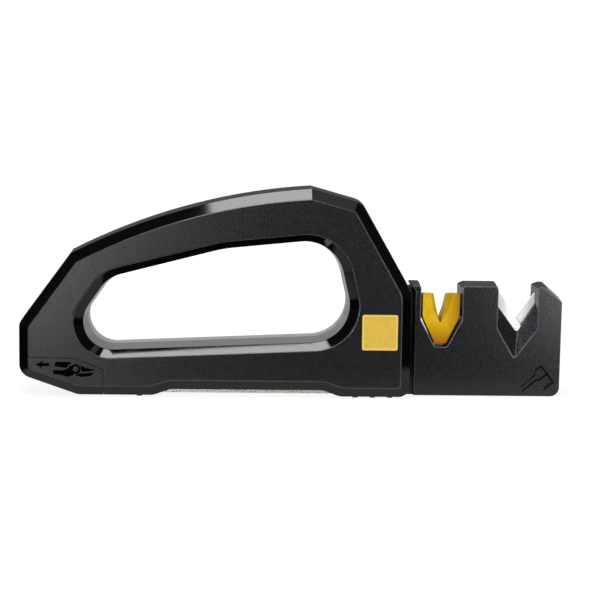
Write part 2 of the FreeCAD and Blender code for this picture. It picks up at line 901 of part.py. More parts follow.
def screw(name, x, z, seat, bite, radius, head_radius, head_height):
    """A socket screw from the rear, its head on the seat and its point bite in front of y = 0."""
    shank = cylinder(f"{name}_shank", "y", radius, seat + bite, x, -bite, z)
    head = cylinder(f"{name}_head", "y", head_radius, head_height, x, seat, z)
    socket = doc.addObject("Part::Prism", f"{name}_socket")
    socket.Polygon = 6
    socket.Placement = FreeCAD.Placement(FreeCAD.Vector(), TURNS["y"])
    socket.setExpression("Circumradius", (head_radius * size("socket_share")).text)
    socket.setExpression("Height", head_height.text)
    place(socket, x, seat + head_height / 2, z)
    return cut(name, fuse(f"{name}_blank", [shank, head]), [socket])


def shell_screws():
    pieces = []
    for boss, (x, z) in BOSSES.items():
        pieces.append(screw(
            f"shell_screw_{boss}", x, z, screw_seat, shell_screw_bite(boss),
            size("screw_radius"), size("screw_head_radius"), size("screw_head_height"),
        ))
    return group("shell_screws", pieces)


# Pieces on the base and the badge
def flat_plate(name, left, right, half, low, thickness, corner=None):
    """A flat piece in the middle of the base, from its underside up."""
    body = new_body(name)
    sketch = new_sketch(body, "outline", -low, "XY_Plane")
    draw_outline(sketch, rectangle(left, -half, right, half, corner))
    pad(body, "plate", sketch, thickness)
    return body


def diamond_plate():
    low = arch_height - size("adhesive_thickness") - size("plate_thickness")
    end = plate_start + plate_length
    half = size("plate_width") / 2
    corner = size("plate_corner")
    return flat_plate("diamond_plate", plate_start, end, half, low, size("plate_thickness"), corner)


def plate_adhesive():
    margin = size("adhesive_margin")
    end = plate_start + plate_length - margin
    low = arch_height - size("adhesive_thickness")
    half = size("plate_width") / 2 - margin
    return flat_plate("plate_adhesive", plate_start + margin, end, half, low, size("adhesive_thickness"))


def foot_pad(name, start, end, first_rib, ribs):
    """A rubber pad let into the base, with cross ribs that stand on the table."""
    thickness = size("pad_thickness")
    pieces = [box(
        f"{name}_slab", start, -size("pad_half_width"), size("rib_height"),
        end - start, size("pad_half_width") * 2, thickness,
    )]
    for number in range(ribs):
        middle = first_rib + size("rib_pitch") * number
        pieces.append(box(
            f"{name}_rib_{number}", middle - size("rib_width") / 2, -size("pad_half_width"), ZERO,
            size("rib_width"), size("pad_half_width") * 2, size("rib_height") + thickness / 2,
        ))
    pad_piece = fuse(name, pieces)
    pad_piece.Label = name
    return pad_piece


def badge():
    """A plain square plate with a raised rim, on the front shell."""
    body = new_body("badge")
    half = size("badge_side") / 2
    corner = size("badge_corner")
    left, right = before_end("badge_setback") - half, before_end("badge_setback") + half
    low, high = size("badge_height") - half, size("badge_height") + half
    front = -half_width + size("badge_sink")
    square = rectangle(left, low, right, high, corner)
    pad(body, "plate", outline(body, "outline", square, front), size("badge_thickness"), True)
    rim = size("badge_rim")
    field = rectangle(left + rim, low + rim, right - rim, high - rim, corner)
    pocket(body, "field", outline(body, "field_outline", field, front), size("badge_rim_depth"), True)
    return body


def file_grommet():
    """The rubber ring that grips the stored file."""
    place_at = (size("grommet_start"), ZERO, file_axis)
    length = size("grommet_length")
    ring = cylinder("grommet_ring", "x", grommet_radius, length, *place_at)
    bore = cylinder("grommet_bore", "x", size("file_radius") + size("grommet_fit"), length, *place_at)
    return cut("file_grommet", ring, [bore])


# Pull-out pruner tool
def tool_cap():
    """The lower heel corner of the handle, with a spigot that slides between the shells."""
    name = "tool_cap"
    body = new_body(f"{name}_moulding")
    for side in (-1, 1):
        handle_form(body, side)
        round_flank(body, side)
    whole = half_width * 2 + overcut
    pocket(body, "shell_room", outline(body, "seam", beyond_cap_zone()), whole, midplane=True)
    core_depth = half_width - size("cap_wall") - size("hub_half")
    core = rectangle(
        size("heel_toe"), size("rib_height") + size("cap_wall"),
        size("seam_x") + overcut, size("seam_low") - size("cap_wall"),
    )
    for side in (-1, 1):
        core_sketch = outline(body, "core_outline", core, side * size("hub_half"))
        pocket(body, "core", core_sketch, core_depth, side > 0)
    spigot = rectangle(size("seam_knee_x"), spigot_low, size("spigot_end"), spigot_high)
    pad(body, "spigot", outline(body, "spigot_outline", spigot), size("spigot_half") * 2, midplane=True)
    bore = cylinder(
        f"{name}_file_bore", "x", size("file_radius"), size("spigot_end") - size("file_start") + overcut,
        size("file_start"), ZERO, file_axis,
    )
    pin_hole = cylinder(
        f"{name}_pin_hole", "y", size("file_pin_radius"), size("hub_half") + half_width + overcut,
        size("file_pin_x"), -size("hub_half"), file_axis,
    )
    return cut(name, body, [bore, pin_hole])


def pruner_file():
    """A half-round file on a round shank, tapering to its tip."""
    name = "pruner_file"
    radius = size("file_radius")
    start = size("file_start")
    tip_start = size("file_end") - size("file_tip_length")
    shank = cylinder(f"{name}_shank", "x", radius, tip_start - start, start, ZERO, file_axis)
    tip = doc.addObject("Part::Cone", f"{name}_tip")
    tip.Placement = FreeCAD.Placement(FreeCAD.Vector(), TURNS["x"])
    tip.setExpression("Radius1", radius.text)
    tip.setExpression("Radius2", size("file_tip_radius").text)
    tip.setExpression("Height", size("file_tip_length").text)
    place(tip, tip_start, ZERO, file_axis)
    past = radius + overcut
    flat = box(
        f"{name}_flat", size("file_flat_start"), -past, file_axis + size("file_flat_height"),
        size("file_end") - size("file_flat_start") + overcut, past * 2, past,
    )
    pin_hole = cylinder(
        f"{name}_pin_hole", "y", size("file_pin_radius"), past * 2, size("file_pin_x"), -past, file_axis,
    )
    return cut(name, fuse(f"{name}_blank", [shank, tip]), [flat, pin_hole])


def file_pin():
    """The pin that holds the file in the cap."""
    half = size("hub_half")
    pin = cylinder("file_pin", "y", size("file_pin_radius"), half * 2, size("file_pin_x"), -half, file_axis)
    pin.Label = "file_pin"
    return pin


# Head
def head_outline(crown):
    """Outline of the head, with its top and bevel raised by the crown."""
    left = head_start
    lean = (size("handle_length") - before_end("brow_end_setback")) / (brow_end_height - size("nose_height"))
    top = head_height + crown
    top_left = left - (top - size("nose_height")) * lean
    return [
        spot(left, size("rib_height")),
        spot(overall_length, size("rib_height"), size("head_toe_radius")),
        spot(overall_length, top - size("bevel_drop")),
        spot(overall_length - size("bevel_run"), top),
        spot(top_left, top),
        spot(left, size("nose_height")),
    ]


def jaw_outline():
    x, half = jaw_x, size("jaw_half_width")
    bend = size("jaw_round")
    top = head_height + overcut
    return [
        spot(x - size("jaw_floor_half"), below_top("jaw_depth"), bend),
        spot(x + size("jaw_floor_half"), below_top("jaw_depth"), bend),
        spot(x + half, below_top("jaw_straight"), bend),
        spot(x + half, top),
        spot(x - half, top),
        spot(x - half, below_top("jaw_straight"), bend),
    ]


def axe_outline(lift, shift):
    """The V for axes, with its floor raised by a lift and its apex shifted towards the nose."""
    x, half = axe_x, size("axe_half_width")
    top = head_height + overcut
    return [
        spot(x + shift, below_top("axe_depth") + lift, size("axe_apex_round")),
        spot(x + half, below_top("axe_straight") + lift),
        spot(x + half, top),
        spot(x - half, top),
        spot(x - half, below_top("axe_straight") + lift),
    ]


def slanted_plate(root_x, root_z, run, rise, reach, tail, width, grow, leftward):
    """Outline of an abrasive plate whose working edge leans away from the root, left or right."""
    length = (run * run + rise * rise).root()
    hand = -1 if leftward else 1
    along = (run / length * hand, rise / length)
    out = (rise / length * hand, -(run / length))
    low, high = -(tail + grow), reach + grow
    edge, back = -grow, width + grow
    spots = []
    for distance, drop in ((low, edge), (high, edge), (high, back), (low, back)):
        x = root_x + along[0] * distance + out[0] * drop
        z = root_z + along[1] * distance + out[1] * drop
        spots.append(spot(x, z))
    return spots if leftward else spots[::-1]


def ceramic_outline(grow, leftward):
    rise = size("axe_depth") - size("axe_straight")
    return slanted_plate(
        axe_x + size("axe_root_shift"), below_top("ceramic_depth"), size("axe_half_width"), rise,
        size("ceramic_reach"), size("ceramic_tail"), size("ceramic_width"), grow, leftward,
    )


def carbide_outline(grow, leftward):
    return slanted_plate(
        jaw_x, below_top("carbide_depth"), size("carbide_slope_run"), size("carbide_slope_rise"),
        size("carbide_reach"), size("carbide_tail"), size("carbide_width"), grow, leftward,
    )


HEAD_SCREWS = {
    "high": (middle_post_x, below_top("head_screw_depth")),
    "low": (middle_post_x, size("head_screw_height")),
    "nose": (overall_length - size("nose_screw_setback"), size("nose_screw_height")),
}
head_screw_seat = head_half - size("head_screw_head_depth")


def head_body(name, side):
    """One half of the head: jaw slot, relieved V, neck, and a seat for one ceramic plate."""
    body = new_body(f"{name}_moulding")
    rear = side > 0
    loft(body, "AdditiveLoft", "block", [
        outline(body, "parting", head_outline(size("head_crown"))),
        outline(body, "face", head_outline(ZERO), side * head_half),
    ])
    pocket(body, "jaw", outline(body, "jaw_outline", jaw_outline()), head_half, rear)
    inner_v = axe_outline(size("axe_relief_lift"), size("axe_root_shift"))
    sections = [
        outline(body, "axe_inner", inner_v, side * size("axe_relief_end")),
        outline(body, "axe_outer", axe_outline(ZERO, -size("axe_mouth_shift")), side * head_half),
    ]
    pocket(body, "axe_v", outline(body, "axe_mid", inner_v), size("axe_relief_end"), rear)
    loft(body, "SubtractiveLoft", "axe_relief", sections)
    top = head_height.value
    first = (jaw_x - size("jaw_half_width")).value
    last = (axe_x + size("axe_half_width")).value

    def post_edge(edge):
        bounds = edge.BoundBox
        return bounds.ZMin > top - 1e-4 and bounds.XLength < 1e-4 and first - 1e-4 < bounds.XMin < last + 1e-4

    round_edges(body, "post_round", post_edge, size("head_post_radius"))
    round_plane(body, "face_round", side * head_half, size("head_edge_round"))
    pad(body, "neck", outline(body, "neck_outline", neck_outline(ZERO)), neck_half, rear)
    seat = outline(body, "seat_outline", ceramic_outline(size("plate_seat"), not rear))
    pocket(body, "plate_seat", seat, size("ceramic_thickness") + size("plate_seat"), rear)
    return body


def pivot_seats(name):
    """Bores for the rocker's trunnions, either side of the jaw."""
    reach = size("pivot_bite") + size("pivot_end_gap")
    radius = size("pivot_radius") + size("pivot_fit")
    left = jaw_x - size("jaw_half_width") - reach
    right = jaw_x + size("jaw_half_width")
    return [
        cylinder(f"{name}_{hand}_seat", "x", radius, reach, x, ZERO, below_top("pivot_depth"))
        for hand, x in (("left", left), ("right", right))
    ]


def neck_holes(name):
    """Clearance holes for the two shell screws that pass through the neck."""
    hole = size("screw_radius") + size("screw_clearance")
    holes = []
    for boss in ("neck_high", "neck_low"):
        x, z = BOSSES[boss]
        holes.append(cylinder(f"{name}_{boss}_hole", "y", hole, neck_half * 2, x, -neck_half, z))
    return holes


def head_front_half():
    name = "head_front_half"
    bite = size("head_screw_bite")
    pilots = [
        cylinder(f"{name}_{key}_pilot", "y", size("head_screw_radius"), bite, x, -bite, z)
        for key, (x, z) in HEAD_SCREWS.items()
    ]
    return cut(name, head_body(name, -1), pivot_seats(name) + neck_holes(name) + pilots)


def head_rear_half():
    name = "head_rear_half"
    hole = size("head_screw_radius") + size("screw_clearance")
    sink = size("head_screw_head_radius") + size("screw_clearance")
    tools = pivot_seats(name) + neck_holes(name)
    for key, (x, z) in HEAD_SCREWS.items():
        tools.append(cylinder(f"{name}_{key}_hole", "y", hole, head_half, x, ZERO, z))
        depth = overcut + size("head_screw_head_depth")
        tools.append(cylinder(f"{name}_{key}_sink", "y", sink, depth, x, head_screw_seat, z))
    return cut(name, head_body(name, 1), tools)


def head_screws():
    return group("head_screws", [
        screw(
            f"head_screw_{key}", x, z, head_screw_seat, size("head_screw_bite"),
            size("head_screw_radius"), size("head_screw_head_radius"), size("head_screw_head_height"),
        )
        for key, (x, z) in HEAD_SCREWS.items()
    ])


def abrasive_plate(name, spots, thickness, rear):
    """A flat plate that lies against the parting plane, in front of it or behind it."""
    body = new_body(name)
    pad(body, "plate", outline(body, "outline", spots), thickness, rear)
    return body


# Rocker of the knife jaw
rocker_side = size("jaw_half_width") - size("jaw_side_gap")
rocker_lift = rocker_half * size("rocker_swing").tangent()


def rocker_outline(lift):
    """The jaw's outline less the gap, with the lower sides lifted so that the rocker can swing."""
    x = jaw_x
    gap = size("jaw_gap")
    low = below_top("jaw_depth") + gap + lift
    shoulder = below_top("jaw_straight") + gap + lift
    bend = size("jaw_round")
    return [
        spot(x - size("jaw_floor_half"), low, bend),
        spot(x + size("jaw_floor_half"), low, bend),
        spot(x + rocker_side, shoulder, bend),
        spot(x + rocker_side, rocker_top, bend),
        spot(x - rocker_side, rocker_top, bend),
        spot(x - rocker_side, shoulder, bend),
    ]


def rocker_rim_outline():
    """The rocker's outer face, drawn in by the bevel round it."""
    bevel = size("rocker_bevel")
    spots = [replace(here, radius=here.radius - bevel) for here in rocker_outline(rocker_lift)]
    return inset(spots, [bevel] * len(spots))


def notch_outline(grow):
    """The V in the rocker, with steep lips over a wider-angled root."""
    x = jaw_x
    top = rocker_top + overcut
    mouth = size("mouth_half") + grow
    throat = size("throat_half") + grow
    return [
        spot(x, below_top("notch_depth")),
        spot(x + throat, below_top("throat_depth")),
        spot(x + mouth, rocker_top),
        spot(x + mouth, top),
        spot(x - mouth, top),
        spot(x - mouth, rocker_top),
        spot(x - throat, below_top("throat_depth")),
    ]


ROCKER_PINS = {
    "left": (jaw_x - size("rocker_pin_offset"), below_top("rocker_pin_depth")),
    "right": (jaw_x + size("rocker_pin_offset"), below_top("rocker_pin_depth")),
    "low": (jaw_x, below_top("keel_pin_depth")),
}


def rocker_half_piece(name, side):
    """One half of the rocker, with the V, its flared lips and a seat for one carbide plate."""
    body = new_body(f"{name}_moulding")
    rear = side > 0
    loft(body, "AdditiveLoft", "form", [
        outline(body, "keel", rocker_outline(ZERO)),
        outline(body, "face", rocker_outline(rocker_lift), side * (rocker_half - size("rocker_bevel"))),
        outline(body, "rim", rocker_rim_outline(), side * rocker_half),
    ])
    pocket(body, "notch", outline(body, "notch_outline", notch_outline(ZERO)), rocker_half, rear)
    loft(body, "SubtractiveLoft", "flare", [
        outline(body, "lip", notch_outline(ZERO), side * (rocker_half - size("notch_flare_depth"))),
        outline(body, "flared_lip", notch_outline(size("notch_flare")), side * rocker_half),
    ])
    seat = outline(body, "seat_outline", carbide_outline(size("plate_seat"), not rear))
    pocket(body, "plate_seat", seat, size("carbide_thickness") + size("plate_seat"), rear)
    tools = trunnions(f"{name}_seat") + [
        cylinder(
            f"{name}_{key}_pin_hole", "y", size("rocker_pin_radius"), size("rocker_pin_length"),
            x, -size("rocker_pin_length") / 2, z,
        )
        for key, (x, z) in ROCKER_PINS.items()
    ]
    return cut(name, body, tools)


def trunnions(name):
    """The steel stubs on which the rocker swings."""
    length = size("pivot_bite") + size("jaw_side_gap") + size("pivot_press")
    left = jaw_x - size("jaw_half_width") - size("pivot_bite")
    right = jaw_x + rocker_side - size("pivot_press")
    return [
        cylinder(f"{name}_{hand}", "x", size("pivot_radius"), length, x, ZERO, below_top("pivot_depth"))
        for hand, x in (("left", left), ("right", right))
    ]


def rocker_pins():
    return group("rocker_pins", [
        cylinder(
            f"rocker_pin_{key}", "y", size("rocker_pin_radius"), size("rocker_pin_length"),
            x, -size("rocker_pin_length") / 2, z,
        )
        for key, (x, z) in ROCKER_PINS.items()
    ])


PIECES = [
    front_shell(),
    rear_shell(),
    shell_screws(),
    diamond_plate(),
    plate_adhesive(),
    foot_pad("heel_foot_pad", size("heel_pad_start"), size("heel_pad_end"), size("heel_rib_x"), 1),
    foot_pad("toe_foot_pad", toe_pad_start, toe_pad_end, toe_pad_start + size("toe_rib_inset"), 3),
    badge(),
    file_grommet(),
    tool_cap(),
    pruner_file(),
    file_pin(),
    head_front_half(),
    head_rear_half(),
    head_screws(),
    abrasive_plate("ceramic_plate_left", ceramic_outline(ZERO, True), size("ceramic_thickness"), False),
    abrasive_plate("ceramic_plate_right", ceramic_outline(ZERO, False), size("ceramic_thickness"), True),
    rocker_half_piece("rocker_front_half", -1),
    rocker_half_piece("rocker_rear_half", 1),
    rocker_pins(),
    group("rocker_trunnions", trunnions("rocker_trunnion")),
    abrasive_plate("carbide_plate_left", carbide_outline(ZERO, True), size("carbide_thickness"), False),
    abrasive_plate("carbide_plate_right", carbide_outline(ZERO, False), size("carbide_thickness"), True),
]
doc.recompute()


for item in doc.Objects:
    if "Invalid" in item.State or "Error" in item.State:
        raise RuntimeError(f"{item.Name} failed: {item.State}")
os.makedirs("parts", exist_ok=True)
for piece in PIECES:
    shape = piece.Shape
    if shape.isNull() or not shape.isValid():
        raise RuntimeError(f"{piece.Label} has no valid shape")
    wanted = len(piece.Links) if piece.isDerivedFrom("Part::Compound") else 1
    if len(shape.Solids) != wanted:
        raise RuntimeError(f"{piece.Label} is {len(shape.Solids)} solids, not {wanted}")
    shape.exportStep(f"parts/{piece.Label}.step")
    print(f"{piece.Label}: {len(shape.Solids)} solid(s), {shape.Volume / 1000:.2f} cm3")
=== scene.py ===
"""Studio picture of a hand-held pull-through sharpener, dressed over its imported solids.

Lengths are in metres in the part's own frame: +X from the heel to the nose, -Y the front, +Z up.
Sizes that a maker would read off a drawing are written in millimetres and turned into metres by mm().
"""

import logging
import math
from collections.abc import Sequence
from dataclasses import dataclass, field
from enum import Enum
from functools import cached_property

import bmesh
import bpy
from mathutils import Matrix, Quaternion, Vector


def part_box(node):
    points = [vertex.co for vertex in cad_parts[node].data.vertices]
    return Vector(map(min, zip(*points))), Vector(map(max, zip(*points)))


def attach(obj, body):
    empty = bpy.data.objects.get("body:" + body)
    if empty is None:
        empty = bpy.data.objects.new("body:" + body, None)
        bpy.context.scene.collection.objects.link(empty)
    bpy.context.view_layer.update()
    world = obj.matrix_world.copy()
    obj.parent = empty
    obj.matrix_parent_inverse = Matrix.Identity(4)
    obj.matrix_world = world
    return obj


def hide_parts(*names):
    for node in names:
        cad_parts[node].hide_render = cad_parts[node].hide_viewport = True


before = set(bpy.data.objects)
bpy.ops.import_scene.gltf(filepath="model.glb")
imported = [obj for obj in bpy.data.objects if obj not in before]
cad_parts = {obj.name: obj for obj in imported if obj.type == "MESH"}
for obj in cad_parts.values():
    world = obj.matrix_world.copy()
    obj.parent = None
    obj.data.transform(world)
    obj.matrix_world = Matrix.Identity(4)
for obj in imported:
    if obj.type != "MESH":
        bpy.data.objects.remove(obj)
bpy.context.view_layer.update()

Colour = tuple[float, float, float]
Stretch = tuple[float, float, float]
Place = tuple[float, float, float]
Point = tuple[float, float]
Span = tuple[float, float]
Relief = tuple[float, float]
Socket = bpy.types.NodeSocket
Feed = Socket | float | Colour

EVEN: Stretch = (1.0, 1.0, 1.0)

log = logging.getLogger("sharpener")


class Body(Enum):
    """The rigid bodies of the part, by their names in the frame."""

    HANDLE = "handle"
    ROCKER = "rocker"
    TOOL = "pruner_tool"


class Slot(Enum):
    """The record's material slots, by name."""

    HANDLE = "handle_plastic"
    HEAD = "head_plastic"
    ROCKER = "rocker_yellow"


def mm(length: float) -> float:
    """Turn millimetres into metres."""
    return length * 0.001


class Graph:
    """A node tree that is put together from small steps."""

    def __init__(self, tree: bpy.types.NodeTree) -> None:
        """Start with an empty tree.

        Args:
            tree: the tree of a material or a world.
        """
        self.tree = tree
        tree.nodes.clear()

    def node(self, kind: str, **settings: str | bool) -> bpy.types.Node:
        """Add a node.

        Args:
            kind: its type without the ShaderNode prefix.
            settings: its own settings.

        Returns:
            The new node.
        """
        node = self.tree.nodes.new(f"ShaderNode{kind}")
        for name, setting in settings.items():
            setattr(node, name, setting)
        return node

    def feed(self, socket: Socket, source: Feed) -> None:
        """Link a socket, or set it to a plain number or colour.

        Args:
            socket: the input to fill.
            source: an output socket, a number or a colour.
        """
        if isinstance(source, bpy.types.NodeSocket):
            self.tree.links.new(source, socket)
        elif socket.type == "RGBA":
            socket.default_value = (*source, 1.0)
        else:
            socket.default_value = source

    def math(self, operation: str, first: Feed, second: Feed = 0.0) -> Socket:
        """One arithmetic step.

        Args:
            operation: the Math node's operation.
            first: its first number.
            second: its second number.

        Returns:
            The result's socket.
        """
        node = self.node("Math", operation=operation)
        self.feed(node.inputs[0], first)
        self.feed(node.inputs[1], second)
        return node.outputs[0]

    def span(
        self, value: Socket, low: float, high: float, to_low: float = 0.0, to_high: float = 1.0,
    ) -> Socket:
        """Map one range of a value smoothly to another and hold it there.

        Args:
            value: what is mapped.
            low: where the range starts.
            high: where it ends.
            to_low: the result at low.
            to_high: the result at high.

        Returns:
            The mapped value's socket.
        """
        node = self.node("MapRange", interpolation_type="SMOOTHSTEP")
        for socket, source in zip(node.inputs, (value, low, high, to_low, to_high)):
            self.feed(socket, source)
        return node.outputs[0]

    def part(self, vector: Socket, name: str) -> Socket:
        """One coordinate of a vector.

        Args:
            vector: the vector's socket.
            name: X, Y or Z.

        Returns:
            The coordinate's socket.
        """
        node = self.node("SeparateXYZ")
        self.feed(node.inputs[0], vector)
        return node.outputs[name]


@dataclass(frozen=True)
class Mottle:
    """Cloudy patches in a finish.

    The grain is their size and the detail their raggedness. A patch begins where the noise reaches start
    and is at its strongest from full on.
    """

    grain: float
    detail: float
    start: float
    full: float
    stretch: Stretch = EVEN


class Recipe(Graph):
    """A material's node tree round one Principled shader."""

    USUAL_NOISE: Span = (0.3, 0.7)

    def __init__(self, name: str) -> None:
        """Start a material.

        Args:
            name: the material's name.
        """
        self.material = bpy.data.materials.new(name)
        self.material.use_nodes = True
        super().__init__(self.material.node_tree)
        self.shader = self.node("BsdfPrincipled")
        output = self.node("OutputMaterial")
        self.feed(output.inputs["Surface"], self.shader.outputs["BSDF"])
        self.place = self.node("TexCoord").outputs["Object"]

    def surface(self, **inputs: Feed) -> None:
        """Fill the shader's inputs, named with underscores for spaces."""
        for name, source in inputs.items():
            self.feed(self.shader.inputs[name.replace("_", " ").title().replace("Ior", "IOR")], source)

    def axis(self, name: str) -> Socket:
        """One of the object's own coordinates, in metres: X, Y or Z."""
        return self.part(self.place, name)

    def noise(self, grain: float, detail: float = 2.0, stretch: Stretch = EVEN) -> Socket:
        """Cloudy noise between 0 and 1.

        Args:
            grain: size of its features in metres.
            detail: how many finer layers it has.
            stretch: the factor along each axis, for noise that runs one way.

        Returns:
            The noise's socket.
        """
        run = self.node("Mapping")
        self.feed(run.inputs["Vector"], self.place)
        run.inputs["Scale"].default_value = stretch
        node = self.node("TexNoise")
        self.feed(node.inputs["Vector"], run.outputs[0])
        node.inputs["Scale"].default_value = 1.0 / grain
        node.inputs["Detail"].default_value = detail
        return node.outputs["Fac"]

    def swing(self, noise: Socket, ends: Span) -> Socket:
        """Spread the range in which noise mostly stays between two ends."""
        return self.span(noise, *self.USUAL_NOISE, *ends)

    def patches(self, mottle: Mottle, ends: Span = (0.0, 1.0)) -> Socket:
        """Lay cloudy patches.

        Args:
            mottle: what the patches are like.
            ends: the values between the patches and in them.

        Returns:
            The socket of the value.
        """
        noise = self.noise(mottle.grain, mottle.detail, mottle.stretch)
        return self.span(noise, mottle.start, mottle.full, *ends)

    def grit(self, grain: float, edge: Span) -> Socket:
        """Scatter grains, 1 in the middle of each and 0 between them.

        Args:
            grain: distance between grains in metres.
            edge: where a grain begins to fall off and where it ends, as shares of that distance.

        Returns:
            The pattern's socket.
        """
        node = self.node("TexVoronoi")
        self.feed(node.inputs["Vector"], self.place)
        node.inputs["Scale"].default_value = 1.0 / grain
        return self.span(node.outputs["Distance"], *edge, 1.0, 0.0)

    def mix(self, share: Feed, first: Colour | Socket, second: Colour | Socket) -> Socket:
        """Blend two colours.

        Args:
            share: how much of the second colour there is.
            first: the first colour.
            second: the second colour.

        Returns:
            The blended colour's socket.
        """
        node = self.node("Mix")
        node.data_type = "RGBA"
        factor, colours = node.inputs[0], [socket for socket in node.inputs if socket.type == "RGBA"]
        self.feed(factor, share)
        self.feed(colours[0], first)
        self.feed(colours[1], second)
        return next(socket for socket in node.outputs if socket.type == "RGBA")

    def relief(self, height: Socket, depth: float, strength: Feed = 1.0) -> None:
        """Raise the surface by a height pattern.

        Args:
            height: the pattern, 0 to 1.
            depth: how high 1 stands, in metres.
            strength: share of the effect, which may vary over the surface.
        """
        node = self.node("Bump")
        self.feed(node.inputs["Height"], height)
        node.inputs["Distance"].default_value = depth
        self.feed(node.inputs["Strength"], strength)
        self.feed(self.shader.inputs["Normal"], node.outputs[0])


@dataclass(frozen=True)
class Finish:
    """What every finish has in common: a name and a recipe that it writes."""

    name: str

    @cached_property
    def recipe(self) -> Recipe:
        """The recipe of the finish's material."""
        return Recipe(self.name)

    def write(self) -> None:
        """Write the recipe."""
        raise NotImplementedError

    def material(self) -> bpy.types.Material:
        """Write the recipe and hand out its material."""
        self.write()
        return self.recipe.material


@dataclass(frozen=True)
class HandlePlastic(Finish):
    """Black moulded plastic: grained sides with a painted highlight along their rounded edges, a matt outer
    rim, polished flanks and loop.
    """

    name: str = "handle_plastic"
    grained: Colour = (0.006, 0.0068, 0.0081)
    grained_light: Colour = (0.0086, 0.0097, 0.0113)
    polished: Colour = (0.0016, 0.0016, 0.0017)
    # painted highlight: a pale colour on the rounded edges of the grained sides, where the fillets would
    # catch the light
    edge_highlight: Colour = (0.05, 0.052, 0.056)
    cloud: Mottle = Mottle(mm(2.4), 4.0, 0.35, 0.7)
    # patches that break up the painted edge highlight
    highlight_patches: Mottle = Mottle(mm(3.5), 3.0, 0.25, 0.65)
    highlight_share: Span = (0.35, 1.0)
    smear: Mottle = Mottle(mm(14.0), 5.0, 0.3, 0.75)
    polish_roughness: Span = (0.055, 0.11)
    side_roughness: Span = (0.28, 0.37)
    rim_roughness: float = 0.62
    seam_roughness: float = 0.5
    edge_roughness: float = 0.25
    grain: float = mm(0.48)
    grain_detail: float = 3.0
    grain_depth: float = mm(0.08)
    grain_share: float = 0.7
    side_depth: float = mm(16.97)
    round_depth: float = mm(16.64)
    rim_depth: float = mm(13.3)
    rim_start: Point = (mm(-100.0), mm(40.0))
    rim_slope: float = 0.327
    rim_crown: float = mm(72.0)
    loop_middle: float = mm(-31.5)
    loop_reach: float = mm(63.5)
    parting_width: float = mm(0.09)

    def outer_rim(self, depth: Socket) -> Socket:
        """Where the rim is that runs round the outside of the handle, over the loop and before and behind it.

        Args:
            depth: distance from the parting plane.

        Returns:
            1 on the outer rim, 0 elsewhere.
        """
        recipe = self.recipe
        along = recipe.axis("X")
        start, low = self.rim_start
        rise = recipe.math("MULTIPLY", recipe.math("SUBTRACT", along, start), self.rim_slope)
        bound = recipe.math("MINIMUM", recipe.math("ADD", rise, low), self.rim_crown)
        above = recipe.math("GREATER_THAN", recipe.axis("Z"), bound)
        away = recipe.math("ABSOLUTE", recipe.math("SUBTRACT", along, self.loop_middle))
        beyond = recipe.math("GREATER_THAN", away, self.loop_reach)
        inside = recipe.math("LESS_THAN", depth, self.rim_depth)
        return recipe.math("MULTIPLY", inside, recipe.math("MAXIMUM", above, beyond))

    def write(self) -> None:
        """Write the recipe."""
        recipe = self.recipe
        depth = recipe.math("ABSOLUTE", recipe.axis("Y"))
        side = recipe.math("GREATER_THAN", depth, self.side_depth)
        edge = recipe.math("SUBTRACT", recipe.math("GREATER_THAN", depth, self.round_depth), side)
        seam = recipe.math("LESS_THAN", depth, self.parting_width)
        pebbles = recipe.noise(self.grain, self.grain_detail)
        face = recipe.mix(recipe.patches(self.cloud), self.grained, self.grained_light)
        # the rounded edges of the sides, in patches, get the painted highlight colour
        highlit_edge = recipe.math("MULTIPLY", edge, recipe.patches(self.highlight_patches, self.highlight_share))
        colour = recipe.mix(highlit_edge, recipe.mix(side, self.polished, face), self.edge_highlight)
        smears = recipe.patches(self.smear, self.polish_roughness)
        polish = recipe.math("MULTIPLY", smears, recipe.math("SUBTRACT", 1.0, side))
        satin = recipe.math("MULTIPLY", recipe.swing(pebbles, self.side_roughness), side)
        dull = recipe.math("MULTIPLY", self.outer_rim(depth), self.rim_roughness)
        for place, roughness in ((seam, self.seam_roughness), (edge, self.edge_roughness)):
            dull = recipe.math("MAXIMUM", dull, recipe.math("MULTIPLY", place, roughness))
        smooth = recipe.math("ADD", polish, satin)
        recipe.surface(base_color=colour, roughness=recipe.math("ADD", smooth, dull))
        recipe.relief(pebbles, self.grain_depth, recipe.math("MULTIPLY", side, self.grain_share))


